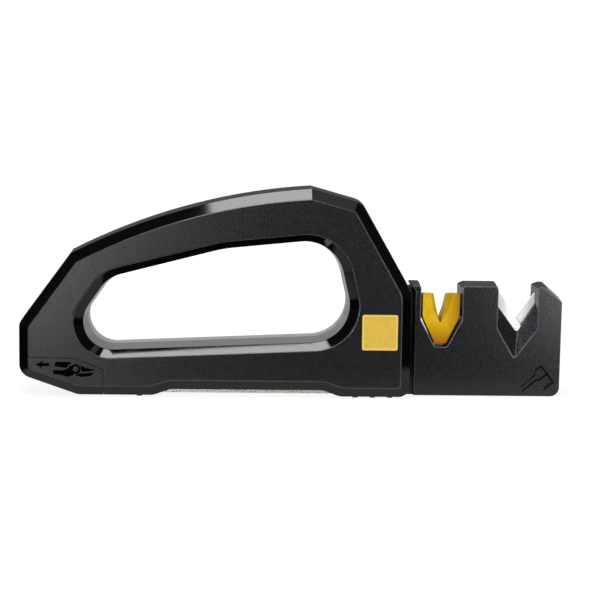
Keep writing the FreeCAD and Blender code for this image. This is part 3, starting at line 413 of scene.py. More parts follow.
@dataclass(frozen=True)
class HeadPlastic(Finish):
    """Black glass-filled plastic with a fine matt grain, with a painted highlight along its edges, painted
    shade on its edges at the foot and painted light on a wall of the axe notch.
    """

    name: str = "head_plastic"
    colour: Colour = (0.008, 0.0084, 0.0093)
    light: Colour = (0.0125, 0.013, 0.0142)
    # painted highlight on the rounded edges of the head
    edge_highlight: Colour = (0.085, 0.088, 0.095)
    # painted shade on the rounded edges at the foot, where the contact shadow falls
    foot_shade: Colour = (0.0015, 0.0015, 0.0016)
    # painted light: a paler colour on a wall of the axe notch, as if a lamp lit it
    notch_light: Colour = (0.034, 0.036, 0.041)
    specks: Mottle = Mottle(mm(0.7), 3.0, 0.42, 0.68)
    # streaky patches of the painted notch light
    notch_light_patches: Mottle = Mottle(mm(1.1), 3.0, 0.3, 0.6, (1.0, 0.3, 1.0))
    # patches that break up the painted edge highlight and shade
    highlight_patches: Mottle = Mottle(mm(2.5), 3.0, 0.2, 0.6)
    highlight_share: Span = (0.5, 1.0)
    roughness: Span = (0.22, 0.31)
    top_roughness: float = 0.3
    grain: float = mm(0.4)
    grain_detail: float = 3.0
    grain_depth: float = mm(0.06)
    grain_share: Span = (0.12, 0.4)
    side_depth: float = mm(8.97)
    round_depth: float = mm(8.55)
    top_height: float = mm(45.4)
    foot_height: float = mm(2.0)
    notch_side: Span = (mm(94.0), mm(104.0))
    notch_height: Span = (mm(20.0), mm(43.5))

    def notch_wall(self, inner: Socket) -> Socket:
        """Where the wall of the axe notch is that gets a painted light.

        Args:
            inner: 1 between the two flat sides.

        Returns:
            1 on the wall, 0 elsewhere.
        """
        recipe, wall = self.recipe, inner
        for axis, (low, high) in (("X", self.notch_side), ("Z", self.notch_height)):
            place = recipe.axis(axis)
            wall = recipe.math("MULTIPLY", wall, recipe.math("GREATER_THAN", place, low))
            wall = recipe.math("MULTIPLY", wall, recipe.math("LESS_THAN", place, high))
        return wall

    def write(self) -> None:
        """Write the recipe."""
        recipe = self.recipe
        depth = recipe.math("ABSOLUTE", recipe.axis("Y"))
        high = recipe.axis("Z")
        side = recipe.math("GREATER_THAN", depth, self.side_depth)
        inner = recipe.math("LESS_THAN", depth, self.round_depth)
        edge = recipe.math("SUBTRACT", 1.0, recipe.math("MAXIMUM", side, inner))
        top = recipe.math("MULTIPLY", inner, recipe.math("GREATER_THAN", high, self.top_height))
        pebbles = recipe.noise(self.grain, self.grain_detail)
        plain = recipe.mix(recipe.patches(self.specks), self.colour, self.light)
        # painted light on the notch wall, in streaky patches
        notch = recipe.math("MULTIPLY", self.notch_wall(inner), recipe.patches(self.notch_light_patches))
        # the rounded edges, in patches, get the painted edge tone
        highlit_edge = recipe.math("MULTIPLY", edge, recipe.patches(self.highlight_patches, self.highlight_share))
        # painted shade on the edges below the foot height, painted highlight above it
        painted_edge_tone = recipe.mix(recipe.math("GREATER_THAN", high, self.foot_height), self.foot_shade, self.edge_highlight)
        colour = recipe.mix(highlit_edge, recipe.mix(notch, plain, self.notch_light), painted_edge_tone)
        matt = recipe.math("MULTIPLY", top, self.top_roughness)
        tooth = recipe.swing(pebbles, self.roughness)
        recipe.surface(base_color=colour, roughness=recipe.math("ADD", tooth, matt))
        recipe.relief(pebbles, self.grain_depth, recipe.span(side, 0.0, 1.0, *self.grain_share))


@dataclass(frozen=True)
class EngravedPlastic(Finish):
    """The dark floor of an engraved sign."""

    name: str = "engraved_plastic"
    colour: Colour = (0.0012, 0.0012, 0.0013)
    grain: float = mm(1.2)
    roughness: Span = (0.08, 0.15)
    shine: float = 0.1

    def write(self) -> None:
        """Write the recipe."""
        recipe = self.recipe
        smears = recipe.swing(recipe.noise(self.grain), self.roughness)
        recipe.surface(base_color=self.colour, roughness=smears, specular_ior_level=self.shine)


@dataclass(frozen=True)
class RockerPlastic(Finish):
    """Golden yellow plastic, a little waxy, with painted shade on the lower keel and towards the right."""

    name: str = "rocker_yellow"
    gold: Colour = (0.54, 0.335, 0.003)
    pale: Colour = (0.6, 0.4, 0.012)
    # painted shade: the colour that the lower keel and the right side are darkened to
    painted_shade: Colour = (0.32, 0.12, 0.001)
    cloud: Mottle = Mottle(mm(3.0), 3.0, 0.3, 0.7)
    keel: Span = (mm(21.0), mm(32.0))
    middle: float = mm(61.5)
    shade_reach: float = mm(7.5)
    shade_share: float = 0.75
    roughness: Span = (0.32, 0.44)
    shine: float = 0.08
    wax: float = 0.12
    wax_depth: float = mm(1.2)
    wax_colour: Colour = (1.0, 0.55, 0.1)
    grain: float = mm(0.3)
    relief: Relief = (mm(0.03), 0.2)

    def write(self) -> None:
        """Write the recipe."""
        recipe = self.recipe
        body = recipe.mix(recipe.patches(self.cloud), self.gold, self.pale)
        # painted shade, darker towards the bottom of the keel
        keel = recipe.span(recipe.axis("Z"), *self.keel, 1.0, 0.0)
        # painted shade, darker towards the right
        right_shade = recipe.span(
            recipe.axis("X"), self.middle, self.middle + self.shade_reach, 0.0, self.shade_share,
        )
        colour = recipe.mix(recipe.math("MAXIMUM", keel, right_shade), body, self.painted_shade)
        tooth = recipe.noise(self.grain)
        recipe.surface(
            base_color=colour, roughness=recipe.swing(tooth, self.roughness),
            subsurface_weight=self.wax, subsurface_scale=self.wax_depth, specular_ior_level=self.shine,
        )
        recipe.shader.inputs["Subsurface Radius"].default_value = self.wax_colour
        recipe.relief(tooth, *self.relief)


@dataclass(frozen=True)
class BadgeEnamel(Finish):
    """Satin golden yellow of the bare badge, with a painted highlight on its rim."""

    name: str = "badge_yellow"
    colour: Colour = (0.58, 0.385, 0.033)
    pale: Colour = (0.615, 0.41, 0.045)
    # painted highlight on the bevelled rim
    rim: Colour = (0.72, 0.49, 0.085)
    cloud: Mottle = Mottle(mm(1.6), 4.0, 0.35, 0.65)
    middle: Point = (mm(35.5), mm(27.6))
    field_half: float = mm(6.4)
    satin_grain: float = mm(0.5)
    roughness: Span = (0.36, 0.5)
    grain: float = mm(0.45)
    grain_detail: float = 3.0
    relief: Relief = (mm(0.03), 0.25)

    def write(self) -> None:
        """Write the recipe."""
        recipe = self.recipe
        across, along = (
            recipe.math("ABSOLUTE", recipe.math("SUBTRACT", recipe.axis(axis), middle))
            for axis, middle in zip("XZ", self.middle)
        )
        # the rim round the field gets the painted highlight colour
        edge = recipe.math("GREATER_THAN", recipe.math("MAXIMUM", across, along), self.field_half)
        enamel = recipe.mix(recipe.patches(self.cloud), self.colour, self.pale)
        recipe.surface(
            base_color=recipe.mix(edge, enamel, self.rim),
            roughness=recipe.swing(recipe.noise(self.satin_grain), self.roughness),
        )
        recipe.relief(recipe.noise(self.grain, self.grain_detail), *self.relief)


@dataclass(frozen=True)
class GroundCeramic(Finish):
    """White ceramic with fine grinding lines."""

    name: str = "white_ceramic"
    colour: Colour = (0.83, 0.83, 0.82)
    shade: Colour = (0.77, 0.77, 0.76)
    line_grain: float = mm(0.25)
    line_detail: float = 3.0
    line_run: Stretch = (1.0, 0.12, 1.0)
    line_shade: Span = (0.45, 0.75)
    relief: Relief = (mm(0.02), 0.3)
    roughness: Span = (0.45, 0.62)

    def write(self) -> None:
        """Write the recipe."""
        recipe = self.recipe
        lines = recipe.noise(self.line_grain, self.line_detail, self.line_run)
        recipe.surface(
            base_color=recipe.mix(recipe.span(lines, *self.line_shade), self.colour, self.shade),
            roughness=recipe.swing(lines, self.roughness),
        )
        recipe.relief(lines, *self.relief)


@dataclass(frozen=True)
class DiamondNickel(Finish):
    """Nickel plate that holds diamond grit."""

    name: str = "diamond_nickel"
    metal: Colour = (0.66, 0.63, 0.57)
    grit: Colour = (0.03, 0.024, 0.017)
    grain: float = mm(0.85)
    grain_edge: Span = (0.2, 0.36)
    relief: Relief = (mm(0.08), 0.6)
    bald: Mottle = Mottle(mm(1.6), 3.0, 0.36, 0.5)
    metallic: Span = (0.85, 0.2)
    satin_grain: float = mm(0.5)
    roughness: Span = (0.3, 0.5)

    def write(self) -> None:
        """Write the recipe."""
        recipe = self.recipe
        crystals = recipe.grit(self.grain, self.grain_edge)
        specks = recipe.math("MULTIPLY", crystals, recipe.patches(self.bald))
        recipe.surface(
            base_color=recipe.mix(specks, self.metal, self.grit),
            metallic=recipe.span(specks, 0.0, 1.0, *self.metallic),
            roughness=recipe.swing(recipe.noise(self.satin_grain), self.roughness),
        )
        recipe.relief(crystals, *self.relief)


@dataclass(frozen=True)
class FileSteel(Finish):
    """Round steel rod, bright on its shank and grit-coated along its working length."""

    name: str = "file_steel"
    bright: Colour = (0.56, 0.56, 0.57)
    coated: Colour = (0.3, 0.295, 0.285)
    coat_start: float = mm(-60.0)
    coat_fade: float = mm(0.6)
    coat_roughness: float = 0.22
    grain: float = mm(0.3)
    grain_edge: Span = (0.15, 0.4)
    grain_depth: float = mm(0.08)
    grain_share: float = 0.7
    line_grain: float = mm(0.2)
    line_run: Stretch = (1.0, 0.05, 0.05)
    metallic: float = 0.9
    roughness: Span = (0.2, 0.34)

    def write(self) -> None:
        """Write the recipe."""
        recipe = self.recipe
        coat = recipe.span(recipe.axis("X"), self.coat_start, self.coat_start + self.coat_fade)
        crystals = recipe.grit(self.grain, self.grain_edge)
        turned = recipe.noise(self.line_grain, stretch=self.line_run)
        smooth = recipe.swing(turned, self.roughness)
        rough = recipe.math("MULTIPLY", coat, self.coat_roughness)
        recipe.surface(
            base_color=recipe.mix(coat, self.bright, self.coated), metallic=self.metallic,
            roughness=recipe.math("ADD", smooth, rough),
        )
        recipe.relief(crystals, self.grain_depth, recipe.math("MULTIPLY", coat, self.grain_share))


@dataclass(frozen=True)
class PlatedSteel(Finish):
    """Zinc-plated or ground steel of small metal pieces."""

    name: str = "plated_steel"
    colour: Colour = (0.5, 0.5, 0.51)
    dark: Colour = (0.36, 0.36, 0.37)
    roughest: float = 0.42
    roughness_range: float = 0.16
    metallic: float = 0.95
    cloud: Mottle = Mottle(mm(0.8), 4.0, 0.35, 0.7)
    line_grain: float = mm(0.2)
    line_run: Stretch = (1.0, 1.0, 0.08)
    relief: Relief = (mm(0.02), 0.25)

    def write(self) -> None:
        """Write the recipe."""
        recipe = self.recipe
        lines = recipe.noise(self.line_grain, stretch=self.line_run)
        recipe.surface(
            base_color=recipe.mix(recipe.patches(self.cloud), self.colour, self.dark),
            metallic=self.metallic,
            roughness=recipe.swing(lines, (self.roughest - self.roughness_range, self.roughest)),
        )
        recipe.relief(lines, *self.relief)


@dataclass(frozen=True)
class FootRubber(Finish):
    """Matt black rubber with a dusty bloom."""

    name: str = "foot_rubber"
    colour: Colour = (0.014, 0.014, 0.0145)
    bloom: Colour = (0.03, 0.03, 0.031)
    dust: Mottle = Mottle(mm(1.5), 5.0, 0.45, 0.75)
    roughness: float = 0.72
    grain: float = mm(0.35)
    relief: Relief = (mm(0.05), 0.3)

    def write(self) -> None:
        """Write the recipe."""
        recipe = self.recipe
        dusty = recipe.mix(recipe.patches(self.dust), self.colour, self.bloom)
        recipe.surface(base_color=dusty, roughness=self.roughness)
        recipe.relief(recipe.noise(self.grain), *self.relief)


@dataclass(frozen=True)
class FoamSheet(Finish):
    """Pale foam of the adhesive sheet."""

    name: str = "adhesive_sheet"
    colour: Colour = (0.72, 0.71, 0.66)
    pore: Colour = (0.5, 0.49, 0.45)
    roughness: float = 0.8
    pore_grain: float = mm(0.25)
    pore_edge: Span = (0.1, 0.35)
    relief: Relief = (mm(0.05), 0.4)

    def write(self) -> None:
        """Write the recipe."""
        recipe = self.recipe
        pores = recipe.grit(self.pore_grain, self.pore_edge)
        recipe.surface(base_color=recipe.mix(pores, self.colour, self.pore), roughness=self.roughness)
        recipe.relief(pores, *self.relief)


class Finishes:
    """Every finish of the part, made once and shared."""

    def __init__(self) -> None:
        """Make the materials."""
        self.handle = HandlePlastic().material()
        self.head = HeadPlastic().material()
        self.engraved = EngravedPlastic().material()
        self.rocker = RockerPlastic().material()
        self.badge = BadgeEnamel().material()
        self.ceramic = GroundCeramic().material()
        self.nickel = DiamondNickel().material()
        self.file = FileSteel().material()
        self.screw = PlatedSteel().material()
        self.carbide = PlatedSteel("carbide", (0.3, 0.3, 0.31), (0.2, 0.2, 0.21), 0.36).material()
        self.rubber = FootRubber().material()
        self.foam = FoamSheet().material()


def dress(nodes: Sequence[str], finish: bpy.types.Material) -> None:
    """Give CAD nodes their finish.

    Args:
        nodes: names of the nodes.
        finish: the material that they all get.
    """
    for node in nodes:
        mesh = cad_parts[node].data
        mesh.materials.clear()
        mesh.materials.append(finish)
        log.info("dressed %s in %s", node, finish.name)


def new_piece(
    name: str, shape: bmesh.types.BMesh, finishes: Sequence[bpy.types.Material],
) -> bpy.types.Object:
    """Turn a finished bmesh into an object at the origin.

    Args:
        name: the piece's name.
        shape: its mesh, which is freed.
        finishes: its materials, in slot order.

    Returns:
        The new object.
    """
    mesh = bpy.data.meshes.new(name)
    shape.to_mesh(mesh)
    shape.free()
    for finish in finishes:
        mesh.materials.append(finish)
    piece = bpy.data.objects.new(name, mesh)
    bpy.context.scene.collection.objects.link(piece)
    log.info("made %s", name)
    return piece


def stand_in(piece: bpy.types.Object, node: str, body: Body) -> None:
    """Let a new piece take the place of a CAD node.

    Args:
        piece: the new piece.
        node: the node's name.
        body: the body that carries it.
    """
    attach(piece, body.value)
    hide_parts(node)


def merged_copy(node: str, reach: float = mm(0.0005)) -> bmesh.types.BMesh:
    """A CAD node's mesh as one closed skin.

    Args:
        node: the node's name.
        reach: corners no further apart than this become one.

    Returns:
        A new bmesh, without the node's own normals.
    """
    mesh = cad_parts[node].data.copy()
    if "custom_normal" in mesh.attributes:
        mesh.attributes.remove(mesh.attributes["custom_normal"])
    shape = bmesh.new()
    shape.from_mesh(mesh)
    bpy.data.meshes.remove(mesh)
    bmesh.ops.remove_doubles(shape, verts=shape.verts, dist=reach)
    for face in shape.faces:
        face.material_index = 0
    return shape


def settle_shading(piece: bpy.types.Object, crease: float) -> None:
    """Shade a piece smooth up to its creases, with flat faces kept flat.

    Args:
        piece: the mesh object.
        crease: the angle in degrees from which an edge stays sharp.
    """
    piece.data.shade_smooth()
    piece.data.set_sharp_from_angle(angle=math.radians(crease))
    weigh = piece.modifiers.new("flat_faces", "WEIGHTED_NORMAL")
    weigh.keep_sharp = True


def engrave(piece: bpy.types.Object, tool: bpy.types.Object) -> None:
    """Cut a tool's shape into a piece; the cut keeps the tool's material index.

    Args:
        piece: what is engraved.
        tool: the cutter, which is removed.
    """
    step = piece.modifiers.new("engraving", "BOOLEAN")
    step.operation = "DIFFERENCE"
    step.solver = "EXACT"
    step.use_self = True
    step.object = tool
    bpy.context.view_layer.update()
    cut = bpy.data.meshes.new_from_object(piece.evaluated_get(bpy.context.evaluated_depsgraph_get()))
    piece.modifiers.remove(step)
    piece.data = cut
    bpy.data.objects.remove(tool)


def deepen(shape: bmesh.types.BMesh, faces: Sequence[bmesh.types.BMFace], depth: Vector) -> None:
    """Extrude flat faces of a bmesh to closed solids.

    Args:
        shape: the bmesh that they are in.
        faces: the faces, which stay as the near ends.
        depth: how far and which way they are extruded.
    """
    grown = bmesh.ops.extrude_face_region(shape, geom=faces, use_keep_orig=True)["geom"]
    moved = [item for item in grown if isinstance(item, bmesh.types.BMVert)]
    bmesh.ops.translate(shape, verts=moved, vec=depth)


@dataclass
class EngravedSign:
    """A pictogram cut into a flat front face: filled shapes, rings and strokes, in millimetres.

    Points are measured from an origin on the face, to the right and up.
    """

    name: str
    origin: Vector
    shapes: list[list[Point]] = field(default_factory=list)
    rings: list[tuple[Point, float, float]] = field(default_factory=list)
    strokes: list[list[Point]] = field(default_factory=list)
    stroke_width: float = 0.6
    depth: float = 0.3
    clear: float = 0.5
    ring_segments: int = 40

    def spot(self, point: Point) -> Vector:
        """A point of the drawing, just in front of the face."""
        return self.origin + Vector((mm(point[0]), -mm(self.clear), mm(point[1])))

    def bar(self, start: Point, end: Point) -> list[Vector]:
        """Corners of one straight stroke.

        Args:
            start: where it starts.
            end: where it ends.

        Returns:
            Its four corners, with square ends past both points.
        """
        first, last = self.spot(start), self.spot(end)
        along = (last - first).normalized() * mm(self.stroke_width / 2)
        across = Vector((-along.z, 0.0, along.x))
        return [first - along - across, last + along - across, last + along + across, first - along + across]

    def ring(
        self, shape: bmesh.types.BMesh, centre: Vector, inner: float, outer: float,
    ) -> list[bmesh.types.BMFace]:
        """Add a flat ring that faces the front to a bmesh.

        Args:
            shape: the bmesh that gets it.
            centre: its middle.
            inner: its inner radius.
            outer: its outer radius.

        Returns:
            The ring's faces.
        """
        stand = Matrix.Translation(centre) @ Matrix.Rotation(math.radians(90.0), 4, "X")
        edges = []
        for radius in (inner, outer):
            circle = bmesh.ops.create_circle(
                shape, cap_ends=False, segments=self.ring_segments, radius=radius, matrix=stand,
            )
            edges += list({edge for vert in circle["verts"] for edge in vert.link_edges})
        return bmesh.ops.bridge_loops(shape, edges=edges)["faces"]

    def cutter(self) -> bpy.types.Object:
        """Build the tool that cuts the sign, with its faces in the second material slot.

        Returns:
            The tool.
        """
        depth = Vector((0.0, mm(self.clear + self.depth), 0.0))
        outlines = [[self.spot(point) for point in outline] for outline in self.shapes]
        bars = [self.bar(*ends) for stroke in self.strokes for ends in zip(stroke, stroke[1:])]
        shape = bmesh.new()
        for corners in outlines + bars:
            deepen(shape, [shape.faces.new([shape.verts.new(corner) for corner in corners])], depth)
        for centre, inner, outer in self.rings:
            deepen(shape, self.ring(shape, self.spot(centre), mm(inner), mm(outer)), depth)
        bmesh.ops.recalc_face_normals(shape, faces=shape.faces)
        for face in shape.faces:
            face.material_index = 1
        return new_piece(f"{self.name}_cutter", shape, [])


@dataclass
class HandleShells:
    """The two shells of the handle with their screws and the bare badge."""

    finishes: Finishes

    def build(self) -> None:
        """Dress the shells, the screws and the badge."""
        dress(["front_shell", "rear_shell"], self.finishes.handle)
        dress(["shell_screws"], self.finishes.screw)
        dress(["badge"], self.finishes.badge)


@dataclass
class SharpenerBase:
    """Diamond plate, its adhesive and the rubber feet."""

    finishes: Finishes

    def build(self) -> None:
        """Dress the pieces under the base."""
        dress(["diamond_plate"], self.finishes.nickel)
        dress(["plate_adhesive"], self.finishes.foam)
        dress(["heel_foot_pad", "toe_foot_pad"], self.finishes.rubber)


@dataclass
class PrunerTool:
    """The pull-out tool: corner cap with its engraved arrow and pruner, file, pin and grommet."""

    finishes: Finishes
    arrow: list[Point] = field(default_factory=lambda: [
        (7.76, 13.25), (10.75, 11.65), (10.35, 12.65), (13.2, 12.65), (13.2, 13.8), (10.35, 13.8),
        (10.95, 14.85),
    ])
    upper_grip: list[Point] = field(default_factory=lambda: [
        (15.4, 12.6), (20.3, 11.95), (21.2, 13.3), (22.3, 14.25), (15.8, 14.45),
    ])
    lower_grip: list[Point] = field(default_factory=lambda: [
        (15.1, 9.25), (18.1, 9.1), (20.5, 8.2), (22.75, 9.05), (23.2, 9.8), (22.4, 12.6), (21.8, 13.0),
        (20.5, 11.6), (18.1, 10.9), (14.7, 11.1),
    ])
    upper_blade: list[Point] = field(default_factory=lambda: [
        (26.0, 11.3), (26.5, 10.4), (30.3, 10.7), (31.8, 11.35), (27.9, 12.05), (25.85, 13.1),
    ])
    lower_blade: list[Point] = field(default_factory=lambda: [
        (23.7, 8.9), (26.5, 8.3), (29.75, 8.8), (31.65, 10.25), (27.9, 9.8), (25.2, 9.8),
    ])
    pivot: Point = (23.85, 11.5)
    pivot_inner: float = 1.1
    pivot_outer: float = 2.0
    crease: float = 28.0

    def build(self) -> None:
        """Engrave the cap and dress the rest of the tool."""
        low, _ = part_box("tool_cap")
        finishes = [self.finishes.handle, self.finishes.engraved]
        cap = new_piece("tool_cap_skin", merged_copy("tool_cap"), finishes)
        sign = EngravedSign(
            "pruner_sign", Vector((low.x, low.y, 0.0)),
            shapes=[self.arrow, self.upper_grip, self.lower_grip, self.upper_blade, self.lower_blade],
            rings=[(self.pivot, self.pivot_inner, self.pivot_outer)],
        )
        engrave(cap, sign.cutter())
        settle_shading(cap, self.crease)
        stand_in(cap, "tool_cap", Body.TOOL)
        dress(["pruner_file"], self.finishes.file)
        dress(["file_pin"], self.finishes.screw)
        dress(["file_grommet"], self.finishes.rubber)


@dataclass
class SharpenerHead:
    """The head's halves with the engraved axe, the screws and the ceramic plates."""

    finishes: Finishes
    poll: list[Point] = field(default_factory=lambda: [
        (-10.2, 11.3), (-8.0, 13.3), (-5.4, 10.0), (-2.6, 6.4),
    ])
    edge: list[Point] = field(default_factory=lambda: [(-2.6, 6.4), (-6.4, 3.4)])
    grind: list[Point] = field(default_factory=lambda: [(-3.5, 6.55), (-6.2, 4.4)])
    eye: list[Point] = field(default_factory=lambda: [
        (-5.5, 10.0), (-8.5, 7.3), (-9.5, 7.6), (-15.3, 2.8),
    ])
    haft: list[Point] = field(default_factory=lambda: [(-16.2, 4.1), (-10.7, 9.1), (-10.2, 11.3)])
    line_width: float = 0.6
    fine_width: float = 0.36
    crease: float = 28.0

    def build(self) -> None:
        """Engrave the front half and dress the rest of the head."""
        low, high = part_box("head_front_half")
        finishes = [self.finishes.head, self.finishes.engraved]
        half = new_piece("head_front_skin", merged_copy("head_front_half"), finishes)
        corner = Vector((high.x, low.y, 0.0))
        for name, strokes, width in (
            ("axe_sign", [self.poll, self.edge, self.eye], self.line_width),
            ("axe_lines", [self.grind, self.haft], self.fine_width),
        ):
            engrave(half, EngravedSign(name, corner, strokes=strokes, stroke_width=width).cutter())
        settle_shading(half, self.crease)
        stand_in(half, "head_front_half", Body.HANDLE)
        dress(["head_rear_half"], self.finishes.head)
        dress(["head_screws"], self.finishes.screw)
        dress(["ceramic_plate_left", "ceramic_plate_right"], self.finishes.ceramic)


@dataclass
class KnifeRocker:
    """The rocking jaw for knives: two yellow halves with flared lips, pins and carbide plates.

    Sizes are in millimetres. Heights that end in rise are measured up from the keel, those that end in
    drop down from the top.
    """

    finishes: Finishes
    keel_half: float = 2.4
    shoulder_rise: float = 11.3
    face_lift: float = 0.86
    mouth_half: float = 3.0
    throat_half: float = 1.9
    throat_drop: float = 6.1
    root_drop: float = 12.8
    lip_depth: float = 2.6
    lip_flare: float = 1.5
    top_slope: float = 0.1
    top_band: float = 0.5
    slack: float = 0.1
    flush: float = 0.01
    through_run: float = 0.5
    corner_round: float = 0.6
    corner_bend: float = 0.15
    edge_round: float = 0.5
    edge_bend: float = 0.2
    round_segments: int = 4
    crease: float = 40.0

    def outline(self, low: Vector, high: Vector) -> list[Vector]:
        """Corners of the rocker at the parting plane, round the keel and down the notch.

        Args:
            low: lowest corner of the half's box.
            high: highest corner of the half's box.

        Returns:
            The corners, in order.
        """
        middle = (low.x + high.x) / 2
        side = (high.x - low.x) / 2
        keel, shoulder, top = low.z, low.z + mm(self.shoulder_rise), high.z
        right = [
            (mm(self.keel_half), keel), (side, shoulder), (side, top), (mm(self.mouth_half), top),
            (mm(self.throat_half), top - mm(self.throat_drop)),
        ]
        root = [(0.0, top - mm(self.root_drop))]
        left = [(-x, z) for x, z in reversed(right)]
        return [Vector((middle + x, 0.0, z)) for x, z in right + root + left]

    def half(self, node: str, side: float) -> None:
        """Model one half of the rocker.

        Args:
            node: the CAD node that it stands for.
            side: -1 in front, 1 behind.
        """
        low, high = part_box(node)
        depth = max(abs(low.y), abs(high.y))
        middle = (low.x + high.x) / 2
        notch_low = high.z - mm(self.root_drop)
        shape = bmesh.new()
        section = shape.faces.new([shape.verts.new(corner) for corner in self.outline(low, high)])
        last = 0.0
        for reach, flare in ((depth - mm(self.lip_depth), 0.0), (depth, mm(self.lip_flare))):
            first = last == 0.0
            grown = bmesh.ops.extrude_face_region(shape, geom=[section], use_keep_orig=first)["geom"]
            section = next(item for item in grown if isinstance(item, bmesh.types.BMFace))
            for vert in section.verts:
                vert.co.y = side * reach
                self.shape_face(vert, middle, notch_low, (reach - last) / depth, flare)
            last = reach
        for vert in shape.verts:
            if vert.co.z > high.z - mm(self.top_band):
                vert.co.z -= self.top_slope * (vert.co.y + depth)
        bmesh.ops.recalc_face_normals(shape, faces=shape.faces)
        self.soften(shape, side * depth)
        piece = new_piece(f"{node}_skin", shape, [self.finishes.rocker])
        settle_shading(piece, self.crease)
        stand_in(piece, node, Body.ROCKER)

    def shape_face(
        self, vert: bmesh.types.BMVert, middle: float, notch_low: float, share: float, flare: float,
    ) -> None:
        """Move one corner of an outer section: the keel rises and the notch opens.

        Args:
            vert: the corner.
            middle: the notch's middle.
            notch_low: height of the notch's root.
            share: how far the section lies beyond the last one, as a share of the depth.
            flare: how far the notch opens here.
        """
        reach = vert.co.x - middle
        if vert.co.z < notch_low + mm(self.shoulder_rise) / 2 and abs(reach) > mm(self.throat_half):
            vert.co.z += mm(self.face_lift) * share
        elif mm(self.slack) < abs(reach) < mm(self.mouth_half) + mm(self.slack):
            vert.co.x += math.copysign(flare, reach)

    def soften(self, shape: bmesh.types.BMesh, face_depth: float) -> None:
        """Round the corners that run through the rocker, then the edges of its outer face.

        Args:
            shape: the half's bmesh.
            face_depth: where its outer face lies.
        """
        through = [
            edge for edge in shape.edges
            if abs(edge.verts[0].co.y - edge.verts[1].co.y) > mm(self.through_run)
            and edge.calc_face_angle(0.0) > self.corner_bend
        ]
        self.round_off(shape, through, self.corner_round)
        rim = [
            edge for edge in shape.edges
            if all(abs(vert.co.y - face_depth) < mm(self.flush) for vert in edge.verts)
            and edge.calc_face_angle(0.0) > self.edge_bend
        ]
        self.round_off(shape, rim, self.edge_round)

    def round_off(
        self, shape: bmesh.types.BMesh, edges: Sequence[bmesh.types.BMEdge], radius: float,
    ) -> None:
        """Round edges of a bmesh.

        Args:
            shape: the bmesh.
            edges: the edges.
            radius: the size of the round, in millimetres.
        """
        bmesh.ops.bevel(
            shape, geom=edges, offset=mm(radius), offset_type="OFFSET", segments=self.round_segments,
            profile=0.5, affect="EDGES", material=-1, clamp_overlap=True,
        )

    def build(self) -> None:
        """Model both halves and dress the pieces that they hold."""
        self.half("rocker_front_half", -1.0)
        self.half("rocker_rear_half", 1.0)
        dress(["rocker_pins", "rocker_trunnions"], self.finishes.screw)
        dress(["carbide_plate_left", "carbide_plate_right"], self.finishes.carbide)


@dataclass
class Lamp:
    """A soft rectangular lamp that looks at a point: places and sizes in metres, power in watts."""

    name: str
    place: Place
    target: Place
    width: float
    height: float
    power: float

    def build(self) -> None:
        """Hang the lamp."""
        light = bpy.data.lights.new(self.name, "AREA")
        light.shape = "RECTANGLE"
        light.size = self.width
        light.size_y = self.height
        light.energy = self.power
        lamp = bpy.data.objects.new(self.name, light)
        lamp.location = self.place
        lamp.rotation_mode = "QUATERNION"
        lamp.rotation_quaternion = (Vector(self.target) - Vector(self.place)).to_track_quat("-Z", "Y")
        lamp.visible_camera = False
        bpy.context.scene.collection.objects.link(lamp)


@dataclass
class PhotoCamera:
    """The photograph's camera, in millimetres and in pixels of its square frame."""

    place: Vector = field(default_factory=lambda: Vector((-19.6, -603.1, 110.5)))
    forward: Vector = field(default_factory=lambda: Vector((0.0379, 0.9923, -0.1183)))
    roll: float = 0.9
    focal_pixels: float = 1463.0
    frame_pixels: float = 600.0
    sensor: float = 36.0
    clip: float = 10.0

    def build(self) -> None:
        """Set the camera up and make it the scene's."""
        lens = bpy.data.cameras.new("photo_camera")
        lens.sensor_fit = "HORIZONTAL"
        lens.sensor_width = self.sensor
        lens.lens = self.focal_pixels / self.frame_pixels * self.sensor
        lens.clip_start = mm(self.clip)
        camera = bpy.data.objects.new("photo_camera", lens)
        camera.location = self.place * mm(1.0)
        camera.rotation_mode = "QUATERNION"
        turn = Quaternion((0.0, 0.0, 1.0), math.radians(self.roll))
        camera.rotation_quaternion = self.forward.to_track_quat("-Z", "Y") @ turn
        bpy.context.scene.collection.objects.link(camera)
        bpy.context.scene.camera = camera


